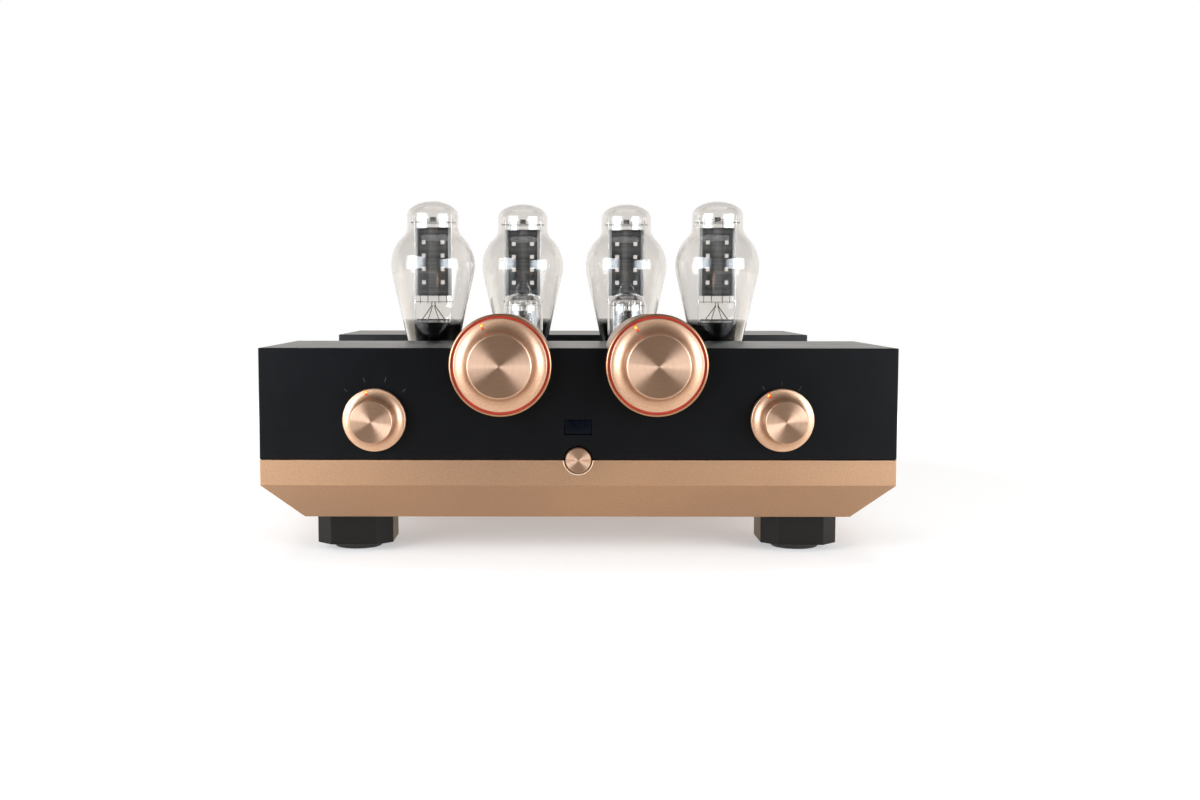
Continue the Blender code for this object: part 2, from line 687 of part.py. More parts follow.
# ---------------------------------------------------------------- inside
def transformers():
    """A toroidal mains transformer between two output transformers, in the rear block."""
    y = REAR_START + 0.0525
    floor = Z_BASE + TRAY_WALL + GAP
    outer, inner, tall, corner = 0.0485, 0.017, 0.056, 0.007
    profile = [(inner, tall - corner), (inner + corner, tall), (outer - corner, tall), (outer, tall - corner)]
    profile += [(outer, corner), (outer - corner, 0), (inner + corner, 0), (inner, corner)]
    turned("mains_transformer", profile, VARNISH, place(0, y, floor), 20, ring=True)
    for side, sign in (("left", -1), ("right", 1)):
        x = sign * 0.115
        core = box(
            f"output_transformer_{side}",
            place(x - 0.043, y - 0.022, floor),
            place(x + 0.043, y + 0.022, floor + 0.080),
            STEEL,
        )
        winding = bmesh.new()
        low = place(x - 0.026, y - 0.040, floor + 0.014)
        add_box(winding, low, place(x + 0.026, y + 0.040, floor + 0.066))
        combine(core, winding, "UNION")


def main_board():
    """Power supply board on four stands, with its reservoir capacitors."""
    floor = Z_BASE + TRAY_WALL + GAP
    level = floor + 0.008
    centre = FRONT_DEPTH + 0.070
    low, high = place(-0.130, centre - 0.055, level), place(0.130, centre + 0.055, level + 0.0016)
    board = box("main_board", low, high, BOARD)
    fitted = bmesh.new()
    for x in (-0.122, 0.122):
        for y in (centre - 0.047, centre + 0.047):
            add_rod(fitted, place(x, y, floor), place(x, y, level + 0.001), 0.003, 8)
    for i in range(4):
        x = (i - 1.5) * 0.054
        foot = place(x, centre + 0.030, level + 0.001)
        add_rod(fitted, foot, foot + Vector((0, 0, 0.035)), 0.0125, 12)
    return combine(board, fitted, "UNION")


def main():
    for obj in list(bpy.data.objects):
        bpy.data.objects.remove(obj, do_unlink=True)
    scene = bpy.context.scene
    scene.collection.children.link(parts)
    scene.collection.children.link(cutters)
    base_tray()
    front_panel()
    display_window()
    front_cover()
    tube_deck()
    rear_cover()
    rear_panel()
    feet()
    for side, sign in (("left", -1), ("right", 1)):
        volume_control(side, sign * VOLUME_X)
        selector(side, sign * SELECTOR_X)
    power_control()
    power_tubes()
    driver_tubes()
    mains_inlet()
    input_jacks()
    speaker_terminals()
    transformers()
    main_board()


main()
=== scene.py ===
import json
import math

import bmesh
import bpy
from mathutils import Matrix, Vector


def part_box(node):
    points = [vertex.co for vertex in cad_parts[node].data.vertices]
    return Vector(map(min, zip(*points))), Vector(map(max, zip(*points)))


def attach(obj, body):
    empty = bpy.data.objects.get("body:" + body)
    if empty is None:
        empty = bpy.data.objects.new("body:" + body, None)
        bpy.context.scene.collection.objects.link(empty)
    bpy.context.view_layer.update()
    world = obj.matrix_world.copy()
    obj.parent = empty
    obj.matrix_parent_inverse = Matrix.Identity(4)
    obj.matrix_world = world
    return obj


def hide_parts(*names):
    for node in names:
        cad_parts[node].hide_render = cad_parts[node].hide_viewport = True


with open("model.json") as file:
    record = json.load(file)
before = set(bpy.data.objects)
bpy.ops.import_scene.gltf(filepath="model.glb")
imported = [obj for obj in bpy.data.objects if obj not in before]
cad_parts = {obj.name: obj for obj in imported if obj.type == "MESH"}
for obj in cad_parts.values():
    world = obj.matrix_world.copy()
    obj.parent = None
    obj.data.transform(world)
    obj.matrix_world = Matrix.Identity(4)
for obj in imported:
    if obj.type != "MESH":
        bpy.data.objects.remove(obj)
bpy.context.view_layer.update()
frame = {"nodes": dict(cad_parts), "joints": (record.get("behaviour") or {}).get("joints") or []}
nodes = frame["nodes"]
chassis = "chassis"

# where the case is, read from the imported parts
panelLow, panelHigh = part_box("front_panel")
rearLow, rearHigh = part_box("rear_panel")
panelFace = panelLow.y
blockTop = panelHigh.z
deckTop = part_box("tube_deck")[1].z
rearFace = rearHigh.y
getterTop = 0.0150  # above the blocks' top


# small tools

def middle(node):
    low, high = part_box(node)
    return (low + high) / 2


def addNode(tree, kind, inputs=None, **settings):
    made = tree.nodes.new("ShaderNode" + kind)
    for key, value in settings.items():
        setattr(made, key, value)
    for key, value in (inputs or {}).items():
        feed(tree, made, key, value)
    return made


def feed(tree, node, key, value):
    if isinstance(value, bpy.types.NodeSocket):
        tree.links.new(value, node.inputs[key])
    else:
        node.inputs[key].default_value = value


def startMaterial(name, **inputs):
    made = bpy.data.materials.new(name)
    made.use_nodes = True
    tree = made.node_tree
    shader = tree.nodes["Principled BSDF"]
    for key, value in inputs.items():
        feed(tree, shader, socketNames[key], value)
    return made, tree, shader


socketNames = {
    "color": "Base Color",
    "metallic": "Metallic",
    "roughness": "Roughness",
    "ior": "IOR",
    "alpha": "Alpha",
    "anisotropic": "Anisotropic",
    "turned": "Anisotropic Rotation",
    "transmission": "Transmission Weight",
    "coat": "Coat Weight",
    "coatRoughness": "Coat Roughness",
    "coatIor": "Coat IOR",
    "specular": "Specular IOR Level",
}


def objectPoint(tree):
    return addNode(tree, "TexCoord").outputs["Object"]


def objectAxis(tree, axis):
    return addNode(tree, "SeparateXYZ", {"Vector": objectPoint(tree)}).outputs[axis]


def measured(tree, vector):
    return addNode(tree, "VectorMath", {0: vector}, operation="LENGTH").outputs["Value"]


def noise(tree, scale, detail=4.0, rough=0.5):
    inputs = {"Vector": objectPoint(tree), "Scale": scale, "Detail": detail, "Roughness": rough}
    return addNode(tree, "TexNoise", inputs).outputs["Fac"]


def lineNoise(tree, along, scale, detail):
    # noise that changes along one measure only
    inputs = {"W": along, "Scale": scale, "Detail": detail}
    return addNode(tree, "TexNoise", inputs, noise_dimensions="1D").outputs["Fac"]


def waves(tree, scale, distortion, direction):
    inputs = {"Vector": objectPoint(tree), "Scale": scale, "Distortion": distortion}
    return addNode(tree, "TexWave", inputs, bands_direction=direction).outputs["Fac"]


def remap(tree, value, low, high, fromLow=0.3, fromHigh=0.7):
    inputs = {"Value": value, "From Min": fromLow, "From Max": fromHigh, "To Min": low, "To Max": high}
    return addNode(tree, "MapRange", inputs).outputs["Result"]


def ramp(tree, value, *stops):
    # stops are (place, color) pairs
    made = addNode(tree, "ValToRGB", {"Fac": value})
    points = made.color_ramp.elements
    while len(points) < len(stops):
        points.new(0.5)
    for point, (place, color) in zip(points, stops):
        point.position = place
        point.color = (*color, 1.0)
    return made.outputs["Color"]


def mathNode(tree, operation, first, second=0.0):
    return addNode(tree, "Math", {0: first, 1: second}, operation=operation).outputs["Value"]


def times(tree, first, second):
    return mathNode(tree, "MULTIPLY", first, second)


def weighted(tree, first, *others):
    # sum of (value, weight) pairs
    total = times(tree, *first)
    for pair in others:
        total = mathNode(tree, "ADD", total, times(tree, *pair))
    return total


def mixedColor(tree, factor, first, second):
    return addNode(tree, "Mix", {0: factor, 6: first, 7: second}, data_type="RGBA").outputs[2]


def patterned(tree, shader, tone, rough, height, depth, strength):
    # colour, roughness and relief, each from its own pattern
    feed(tree, shader, "Base Color", tone)
    feed(tree, shader, "Roughness", rough)
    relief = {"Height": height, "Distance": depth, "Strength": strength}
    feed(tree, shader, "Normal", addNode(tree, "Bump", relief).outputs["Normal"])


# finishes

def blastedFinish(name, light, dark, roughness, metallic, grain=2600.0, depth=0.00002, **more):
    # fine bead-blasted and anodised metal, with a slow drift in tone and a few rubbed patches
    made, tree, shader = startMaterial(name, metallic=metallic, **more)
    fine = noise(tree, grain, 2.0)
    tone = weighted(tree, (noise(tree, 9.0, 3.0), 0.45), (fine, 0.55))
    rubbed = remap(tree, noise(tree, 40.0, 6.0, 0.6), roughness - 0.03, roughness + 0.03)
    patterned(tree, shader, ramp(tree, tone, (0.35, dark), (0.62, light)), rubbed, fine, depth, 0.6)
    return made


def spunFinish(name, light, dark, roughness, grooves=5200.0):
    # a lathe-turned face: rings round the piece's own Z, stretched highlights across them
    made, tree, shader = startMaterial(name, metallic=1.0, anisotropic=0.98, turned=0.25)
    flat = addNode(tree, "VectorMath", {0: objectPoint(tree), 1: (1, 1, 0)}, operation="MULTIPLY")
    radius = measured(tree, flat.outputs["Vector"])
    ring = lineNoise(tree, radius, grooves, 3.0)
    mixed = weighted(tree, (ring, 0.6), (lineNoise(tree, radius, 620.0, 2.0), 0.4))
    tone = ramp(tree, mixed, (0.3, dark), (0.7, light))
    rough = remap(tree, mixed, roughness - 0.04, roughness + 0.05)
    patterned(tree, shader, tone, rough, ring, 0.000006, 0.5)
    tangent = addNode(tree, "Tangent", direction_type="RADIAL", axis="Z")
    feed(tree, shader, "Tangent", tangent.outputs["Tangent"])
    return made


def mouldedFinish(name, color, roughness, coat=0.0, grain=900.0, depth=0.00002):
    made, tree, shader = startMaterial(name, coat=coat, coatRoughness=0.12)
    lighter = tuple(min(1.0, c * 1.35 + 0.002) for c in color)
    tone = ramp(tree, noise(tree, 60.0, 4.0), (0.35, color), (0.7, lighter))
    rough = remap(tree, noise(tree, 120.0, 5.0), roughness - 0.05, roughness + 0.07)
    patterned(tree, shader, tone, rough, noise(tree, grain, 3.0), depth, 0.5)
    return made


def plainMetal(name, light, dark, roughness, scale=300.0):
    made, tree, shader = startMaterial(name, metallic=1.0)
    tone = ramp(tree, noise(tree, scale, 4.0), (0.3, dark), (0.7, light))
    rough = remap(tree, noise(tree, scale * 2.0, 3.0), roughness - 0.05, roughness + 0.08)
    patterned(tree, shader, tone, rough, noise(tree, scale * 6.0, 2.0), 0.00001, 0.4)
    return made


def litFinish(name, color, roughness, tone, strength):
    # tone is called with the material's tree and gives the colour of its light
    made, tree, shader = startMaterial(name, roughness=roughness, color=(*color, 1.0))
    feed(tree, shader, "Emission Color", tone(tree))
    feed(tree, shader, "Emission Strength", strength)
    return made


def glowFinish(name, color, strength, speckle=0.25):
    # a lit light guide, a little brighter where the lamps stand behind it
    dim = tuple(c * (1 - speckle) for c in color)
    return litFinish(
        name, (0.25, 0.01, 0.005), 0.35,
        lambda tree: ramp(tree, noise(tree, 70.0, 2.0), (0.35, dim), (0.65, color)), strength)


pointerTones = [
    (0.0, (0.10, 0.002, 0.0)), (0.20, (0.30, 0.010, 0.002)), (0.36, (1.0, 0.10, 0.01)),
    (0.50, (1.0, 0.52, 0.05)), (0.64, (1.0, 0.30, 0.02)), (0.78, (0.8, 0.03, 0.01)),
    (1.0, (0.12, 0.003, 0.0)),
]


def pointerFinish(name, first, last, strength):
    # the lit slot in a knob's rim: yellow at its heart, orange and then dark red at its ends
    def along(tree):
        return ramp(tree, remap(tree, objectAxis(tree, "Y"), 0.0, 1.0, first, last), *pointerTones)
    return litFinish(name, (0.3, 0.02, 0.005), 0.4, along, strength)


def glassFinish(name, tint):
    # blown glass; lamps shine through it without a hard shadow
    made, tree, shader = startMaterial(
        name, color=(*tint, 1.0), transmission=1.0, ior=1.47, roughness=0.0)
    relief = {"Height": noise(tree, 38.0, 2.0), "Distance": 0.0004, "Strength": 0.12}
    feed(tree, shader, "Normal", addNode(tree, "Bump", relief).outputs["Normal"])
    clear = addNode(tree, "BsdfTransparent", {"Color": (0.93, 0.94, 0.94, 1.0)}).outputs["BSDF"]
    shadow = addNode(tree, "LightPath").outputs["Is Shadow Ray"]
    both = addNode(tree, "MixShader", {0: shadow, 1: shader.outputs["BSDF"], 2: clear})
    feed(tree, tree.nodes["Material Output"], "Surface", both.outputs["Shader"])
    return made


def getterFinish(name, top, fade):
    # mirror flashed on the inside of the bulb's foot, thin and sooty at its upper edge
    made, tree, shader = startMaterial(name, metallic=1.0)
    wisps = noise(tree, 160.0, 5.0, 0.65)
    edge = mathNode(tree, "ADD", objectAxis(tree, "Z"), times(tree, wisps, fade))
    dark, light = (0.06, 0.056, 0.054), (0.16, 0.15, 0.145)
    tone = ramp(tree, noise(tree, 90.0, 4.0), (0.35, dark), (0.7, light))
    feed(tree, shader, "Base Color", tone)
    feed(tree, shader, "Roughness", remap(tree, wisps, 0.08, 0.22))
    feed(tree, shader, "Alpha", remap(tree, edge, 1.0, 0.0, top - fade * 0.3, top + fade * 0.9))
    return made


def anodeFinish(name, pitch):
    # carbonised nickel sheet, scored and finely ribbed, with a painted highlight lighter down its middle over
    # the pressed bulge
    made, tree, shader = startMaterial(name, metallic=0.55)
    height = objectAxis(tree, "Z")
    ribs = mathNode(tree, "SINE", times(tree, height, 2 * math.pi / pitch))
    soot = noise(tree, 500.0, 5.0, 0.6)
    scored = lineNoise(tree, height, 420.0, 4.0)
    # band: painted highlight, the tone lifted over the bulge down the sheet's middle
    band = remap(tree, mathNode(tree, "ABSOLUTE", objectAxis(tree, "X")), 0.20, 0.0, 0.0022, 0.0046)
    mixed = mathNode(tree, "ADD", weighted(tree, (soot, 0.35), (ribs, 0.05), (scored, 0.45)), band)
    tone = ramp(tree, mixed, (0.25, (0.022, 0.021, 0.020)), (0.42, (0.052, 0.049, 0.047)),
                (0.72, (0.150, 0.142, 0.137)))
    patterned(tree, shader, tone, remap(tree, soot, 0.34, 0.48), ribs, 0.00010, 0.9)
    return made


def micaFinish(name, alpha):
    made, tree, shader = startMaterial(name, alpha=alpha)
    flake = noise(tree, 240.0, 6.0, 0.7)
    tone = ramp(tree, flake, (0.3, (0.13, 0.115, 0.095)), (0.7, (0.30, 0.27, 0.23)))
    patterned(tree, shader, tone, 0.16, flake, 0.00003, 0.4)
    return made


def windowFinish(name):
    made, tree, shader = startMaterial(name, specular=0.06)
    dark, light = (0.0008, 0.0014, 0.0030), (0.0014, 0.0024, 0.0048)
    tone = ramp(tree, noise(tree, 200.0, 3.0), (0.3, dark), (0.7, light))
    feed(tree, shader, "Base Color", tone)
    feed(tree, shader, "Roughness", remap(tree, noise(tree, 300.0, 4.0), 0.22, 0.34))
    return made


def glazedFinish(name):
    made, tree, shader = startMaterial(name, coat=0.6, coatRoughness=0.08)
    tone = ramp(tree, noise(tree, 180.0, 5.0), (0.3, (0.70, 0.68, 0.62)), (0.7, (0.86, 0.84, 0.79)))
    rough = remap(tree, noise(tree, 90.0, 4.0), 0.22, 0.4)
    patterned(tree, shader, tone, rough, noise(tree, 700.0, 3.0), 0.00002, 0.4)
    return made


def windingFinish(name, light, dark, pitch):
    # varnished layers of tape or wire, wound side by side
    made, tree, shader = startMaterial(name, coat=0.5, coatRoughness=0.2)
    wound = waves(tree, 1.0 / pitch, 1.5, "DIAGONAL")
    tone = ramp(tree, wound, (0.2, dark), (0.8, light))
    patterned(tree, shader, tone, remap(tree, wound, 0.35, 0.5, 0, 1), wound, 0.0002, 0.6)
    return made


def laminatedFinish(name):
    # stacked iron sheets, seen on edge
    made, tree, shader = startMaterial(name, metallic=0.8)
    sheets = waves(tree, 900.0, 0.6, "Y")
    tone = ramp(tree, sheets, (0.1, (0.05, 0.05, 0.055)), (0.9, (0.22, 0.22, 0.23)))
    patterned(tree, shader, tone, remap(tree, noise(tree, 200.0), 0.4, 0.6), sheets, 0.00008, 0.5)
    return made


def boardFinish(name):
    # green solder mask over faint copper tracks
    made, tree, shader = startMaterial(name, coat=0.5, coatRoughness=0.15)
    cells = {"Vector": objectPoint(tree), "Scale": 160.0}
    tracks = addNode(tree, "TexVoronoi", cells, distance="MANHATTAN", feature="F1").outputs["Distance"]
    tone = ramp(tree, tracks, (0.2, (0.008, 0.075, 0.03)), (0.5, (0.015, 0.12, 0.05)))
    patterned(tree, shader, tone, remap(tree, noise(tree, 150.0), 0.3, 0.5), tracks, 0.00005, 0.4)
    return made


finishes = {
    "black": blastedFinish(
        "blackAnodised", (0.0013, 0.0015, 0.0024), (0.0006, 0.0007, 0.0012), 0.33, 0.0, specular=0.135),
    "blackCover": blastedFinish(
        "blackCover", (0.0050, 0.0052, 0.0058), (0.0036, 0.0038, 0.0042), 0.32, 0.0, specular=0.42),
    "footBlack": blastedFinish(
        "footAnodised", (0.0046, 0.0041, 0.0037), (0.0028, 0.0025, 0.0023), 0.30, 0.0, 1800.0,
        specular=0.22),
    "copper": blastedFinish(
        "copperBlasted", (0.400, 0.200, 0.081), (0.295, 0.141, 0.055), 0.40, 1.0, 900.0, 0.00007,
        coat=1.0, coatRoughness=0.42, coatIor=1.8),
    "knobCopper": blastedFinish(
        "knobBlasted", (0.57, 0.325, 0.190), (0.43, 0.235, 0.132), 0.47, 1.0, 1000.0, 0.00008,
        coat=1.0, coatRoughness=0.34, coatIor=1.8),
    "spun": spunFinish("copperSpun", (0.51, 0.330, 0.235), (0.425, 0.265, 0.184), 0.31),
    "lipCopper": blastedFinish(
        "lipCopper", (0.50, 0.27, 0.15), (0.38, 0.20, 0.11), 0.30, 1.0, 1400.0, 0.00004),
    # bright metal for the painted highlight on the lower lip of the button's recess
    "recessHighlight": plainMetal("paintedHighlightCopper", (0.92, 0.74, 0.58), (0.84, 0.64, 0.48), 0.3),
    "glow": glowFinish("redLightGuide", (1.0, 0.06, 0.03), 0.17, 0.65),
    "leak": glowFinish("redLightLeak", (1.0, 0.04, 0.01), 0.16),
    "glass": glassFinish("bulbGlass", (0.872, 0.864, 0.856)),
    "anode": anodeFinish("carbonisedPlateHighlit", 0.0009),
    "mica": micaFinish("micaSheet", 0.9),
    "flange": plainMetal("grayFlange", (0.46, 0.44, 0.42), (0.32, 0.30, 0.29), 0.42),
    "darkPlate": plainMetal("blackenedPlate", (0.20, 0.195, 0.19), (0.13, 0.125, 0.12), 0.24),
    "nickel": plainMetal("nickelWire", (0.62, 0.60, 0.57), (0.42, 0.40, 0.38), 0.28),
    "whiteWire": plainMetal("coatedCathode", (0.85, 0.82, 0.72), (0.70, 0.66, 0.55), 0.4),
    "darkWire": plainMetal("oxidisedWire", (0.10, 0.09, 0.085), (0.05, 0.045, 0.04), 0.45),
    "bakelite": mouldedFinish("blackBakelite", (0.009, 0.008, 0.007), 0.24, 0.4),
    "plastic": mouldedFinish("blackPlastic", (0.014, 0.014, 0.014), 0.45),
    "rubber": mouldedFinish("padRubber", (0.012, 0.012, 0.012), 0.72, 0.0, 1600.0, 0.00005),
    "redPlastic": mouldedFinish("redPlastic", (0.42, 0.010, 0.008), 0.32, 0.3),
    "whitePlastic": mouldedFinish("whitePlastic", (0.62, 0.60, 0.56), 0.34, 0.3),
    "engraved": mouldedFinish("engravedLine", (0.013, 0.013, 0.014), 0.5),
    "steel": plainMetal("brightSteel", (0.58, 0.57, 0.56), (0.44, 0.43, 0.42), 0.26),
    "blackSteel": plainMetal("blackScrew", (0.055, 0.054, 0.055), (0.03, 0.03, 0.03), 0.34),
    "gold": plainMetal("goldPlate", (0.86, 0.62, 0.25), (0.76, 0.52, 0.19), 0.2),
    "ceramic": glazedFinish("whiteCeramic"),
    "window": windowFinish("smokedWindow"),
    "winding": windingFinish("varnishedWinding", (0.16, 0.075, 0.035), (0.07, 0.03, 0.016), 0.004),
    "laminated": laminatedFinish("laminatedCore"),
    "board": boardFinish("solderMask"),
    "getter": getterFinish("getterMirror", getterTop, 0.0060),
}
print("finishes ready:", len(finishes))


# shapes

def eased(points, radius, steps=4):
    # rounds the corners of an open outline, leaving its two ends
    out = [Vector(points[0])]
    for before, here, after in zip(points, points[1:], points[2:]):
        a, b, c = Vector(before), Vector(here), Vector(after)
        cut = min(radius, (a - b).length * 0.45, (c - b).length * 0.45)
        start, end = b + (a - b).normalized() * cut, b + (c - b).normalized() * cut
        for i in range(steps + 1):
            t = i / steps
            out.append(start * (1 - t) ** 2 + b * 2 * t * (1 - t) + end * t * t)
    out.append(Vector(points[-1]))
    return out


def circlePoint(radius, degrees):
    a = math.radians(degrees)
    return radius * math.cos(a), radius * math.sin(a)


def arcPoints(center, radius, first, last, steps):
    out = []
    for i in range(steps + 1):
        x, y = circlePoint(radius, first + (last - first) * i / steps)
        out.append((center[0] + x, center[1] + y))
    return out


def addObject(name, data):
    made = bpy.data.objects.new(name, data)
    bpy.context.scene.collection.objects.link(made)
    return made


def shaded(made, finish, sharpAngle):
    mesh = made.data
    mesh.materials.clear()
    mesh.materials.append(finishes.get(finish, finish))
    mesh.shade_smooth()
    mesh.set_sharp_from_angle(angle=math.radians(sharpAngle))
    return made


def fromBmesh(name, bm):
    mesh = bpy.data.meshes.new(name)
    bm.to_mesh(mesh)
    bm.free()
    return addObject(name, mesh)


def makeMesh(name, points, faces, finish, smooth=True, sharpAngle=32):
    mesh = bpy.data.meshes.new(name)
    mesh.from_pydata([tuple(p) for p in points], [], faces)
    mesh.validate()
    made = addObject(name, mesh)
    if smooth:
        return shaded(made, finish, sharpAngle)
    mesh.materials.append(finishes.get(finish, finish))
    return made


def lathe(name, outline, finish, segments=96, ring=False, sharpAngle=32):
    # turns an outline of (radius, height) points about Z; a point on the axis closes to one vertex
    points, faces, rows = [], [], []
    for radius, height in outline:
        if radius < 1e-7:
            rows.append([len(points)] * segments)
            points.append((0, 0, height))
        else:
            rows.append(list(range(len(points), len(points) + segments)))
            points += [(*circlePoint(radius, 360 * i / segments), height) for i in range(segments)]
    pairs = list(zip(rows, rows[1:]))
    if ring:
        pairs.append((rows[-1], rows[0]))
    for upper, lower in pairs:
        for i in range(segments):
            j = (i + 1) % segments
            corners = []
            for index in (upper[i], lower[i], lower[j], upper[j]):
                if index not in corners:
                    corners.append(index)
            if len(corners) > 2:
                faces.append(corners)
    return makeMesh(name, points, faces, finish, True, sharpAngle)


def rod(name, points, radius, finish, sides=10):
    # a wire or post along a line of points
    data = bpy.data.curves.new(name, "CURVE")
    data.dimensions = "3D"
    data.bevel_depth = radius
    data.bevel_resolution = max(1, sides // 4)
    data.use_fill_caps = True
    line = data.splines.new("POLY")
    line.points.add(len(points) - 1)
    for spot, place in zip(line.points, points):
        spot.co = (*place, 1.0)
    curve = addObject(name + "Line", data)
    mesh = bpy.data.meshes.new_from_object(curve.evaluated_get(bpy.context.evaluated_depsgraph_get()))
    bpy.data.objects.remove(curve)
    return shaded(addObject(name, mesh), finish, 40)


def block(name, low, high, finish, edge=0.0004, steps=2):
    # a box with rounded edges
    bm = bmesh.new()
    low, high = Vector(low), Vector(high)
    size = high - low
    placed = Matrix.Translation((low + high) / 2) @ Matrix.Diagonal((*size, 1))
    bmesh.ops.create_cube(bm, size=1, matrix=placed)
    if edge:
        width = min(edge, min(size) * 0.4)
        bmesh.ops.bevel(
            bm, geom=bm.edges[:], offset=width, segments=steps, profile=0.5, affect="EDGES")
    return shaded(fromBmesh(name, bm), finish, 50)


def drumFaces(count):
    # a closed band between two loops of points, with both ends capped
    around = [(i, (i + 1) % count, count + (i + 1) % count, count + i) for i in range(count)]
    return [list(range(count))[::-1], [count + i for i in range(count)], *around]


def shifted(piece, x=0.0, y=0.0, z=0.0, turn=0.0):
    move = Matrix.Translation((x, y, z)) @ Matrix.Rotation(math.radians(turn), 4, "Z")
    piece.data.transform(move)
    return piece


def joined(name, pieces):
    # one object from several, each keeping its finish
    for obj in bpy.context.selected_objects:
        obj.select_set(False)
    for obj in pieces:
        obj.select_set(True)
    bpy.context.view_layer.objects.active = pieces[0]
    bpy.ops.object.join()
    pieces[0].name = name
    pieces[0].data.name = name
    pieces[0].select_set(False)
    return pieces[0]


def faceFront(piece, place, turn=0.0):
    # a piece made about Z now points out of the front, its +Y up, turned clockwise by degrees
    piece.location = place
    piece.rotation_euler = (math.pi / 2, math.radians(turn), 0)
    return piece


def settle(piece, body=chassis, stands=()):
    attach(piece, body)
    if stands:
        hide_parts(*stands)
    return piece


def refined(node, name, finish, edge):
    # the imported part's own shape with its edges broken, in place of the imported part
    source = nodes[node]
    bm = bmesh.new()
    bm.from_mesh(source.data)
    bm.transform(source.matrix_world)
    bmesh.ops.remove_doubles(bm, verts=bm.verts[:], dist=0.00001)
    bmesh.ops.dissolve_limit(
        bm, angle_limit=math.radians(1.0), verts=bm.verts[:], edges=bm.edges[:])
    made = shaded(fromBmesh(name, bm), finish, 30)
    bevel = made.modifiers.new("brokenEdges", "BEVEL")
    bevel.width = edge
    bevel.segments = 2
    bevel.limit_method = "ANGLE"
    bevel.angle_limit = math.radians(35)
    bevel.harden_normals = True
    return settle(made, stands=(node,))


def dress(node, finish):
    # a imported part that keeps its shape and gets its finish
    target = nodes[node]
    target.data.materials.clear()
    target.data.materials.append(finishes[finish])


# casing

casing = {"panelEdge": 0.00035, "coverEdge": 0.0006, "trayEdge": 0.00045, "footEdge": 0.0006}

for node, name, finish, slot, edge in (
    ("base_tray", "trayShell", "copper", "copper", "trayEdge"),
    ("front_panel", "frontPanel", "black", "black_anodised", "panelEdge"),
    ("front_cover", "frontCover", "blackCover", "black_anodised", "coverEdge"),
    ("tube_deck", "tubeDeck", "blackCover", "black_anodised", "coverEdge"),
    ("rear_cover", "rearCover", "blackCover", "black_anodised", "coverEdge"),
    ("rear_panel", "rearPanel", "black", "black_anodised", "panelEdge"),
):
    refined(node, name, finish, casing[edge])
for row in ("front", "rear"):
    for side in ("left", "right"):
        node = f"foot_{row}_{side}"
        refined(node, f"foot.{row}.{side}", "footBlack", casing["footEdge"])
        low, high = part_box(f"foot_pad_{row}_{side}")
        radius, tall = (high.x - low.x) / 2, high.z - low.z
        outline = eased([
            (0, tall), (radius - 0.001, tall), (radius, tall - 0.0006), (radius, 0.0022),
            (radius - 0.0016, 0), (radius - 0.006, 0), (radius - 0.0068, 0.0008),
            (0.004, 0.0008), (0, 0.0008),
        ], 0.0005, 3)
        pad = lathe(f"footPad.{row}.{side}", outline, "rubber", 64)
        pad.location = ((low.x + high.x) / 2, (low.y + high.y) / 2, low.z)
        settle(pad, stands=(f"foot_pad_{row}_{side}",))
print("casing done")


# knobs

knobShape = {"faceHollow": 0.00012, "rimRound": 0.0007, "slotWidth": 0.00125, "slotReach": 0.50}


def flareHeight(r, rim, boss, rimReach):
    # how far out the knob's hollow flare stands at a radius
    flare = rim - boss
    away = max(0.0, min(flare, rim - r))
    return rimReach + flare - math.sqrt(flare ** 2 - away ** 2)


def turnedKnob(name, rim, boss, rimReach, reach, hub, hubEnd, chamfer):
    # flat spun face, chamfered boss, then a hollow flare out to the rim
    hollow, edge = knobShape["faceHollow"], knobShape["rimRound"]
    flare = rim - boss
    face = lathe(name + "Face", [
        (0, reach - hollow), (boss * 0.4, reach - hollow * 0.7), (boss - chamfer, reach),
    ], "spun", 128)
    flank = [
        (boss - chamfer, reach), (boss - chamfer * 0.55, reach - chamfer * 0.2),
        (boss - chamfer * 0.15, reach - chamfer * 0.62), (boss, reach - chamfer * 1.15),
        (boss, rimReach + flare),
    ]
    straight = len(flank)
    flank += arcPoints((rim - edge, rimReach + flare), flare - edge, 180, 270, 20)[1:]
    lift = rimReach - flank[-1][1]
    for i in range(straight, len(flank)):
        r, h = flank[i]
        flank[i] = (r, h + lift * (i - straight + 1) / 20)
    flank += arcPoints((rim - edge, rimReach - edge), edge, 90, 0, 5)[1:]
    flank += [
        (rim, rimReach - 0.0038), (rim - 0.0003, rimReach - 0.004), (hub, rimReach - 0.004),
        (hub, hubEnd), (0, hubEnd),
    ]
    return face, lathe(name + "Body", flank, "knobCopper", 128, sharpAngle=40)


def pointerSlot(name, rim, boss, rimReach):
    # lit groove across the outer half of the flare, standing just clear of it
    half = knobShape["slotWidth"] / 2
    long = (rim - boss) * knobShape["slotReach"]
    points, faces = [], []
    steps = 10
    for i in range(steps + 1):
        r = rim - 0.0004 - long * i / steps
        surface = flareHeight(r, rim, boss, rimReach)
        wide = half * (0.55 if i in (0, steps) else 1.0)
        points += [(x, r, surface + z) for z in (0.00012, -0.0008) for x in (-wide, wide)]
        if i:
            a, b = (i - 1) * 4, i * 4
            faces += [(a, a + 1, b + 1, b), (a + 2, b + 2, b + 3, a + 3)]
            faces += [(a, b, b + 2, a + 2), (a + 1, a + 3, b + 3, b + 1)]
    end = steps * 4
    faces += [(0, 2, 3, 1), (end, end + 1, end + 3, end + 2)]
    glow = pointerFinish(name + "Light", rim - long, rim, 3.2)
    return makeMesh(name, points, faces, glow, False)


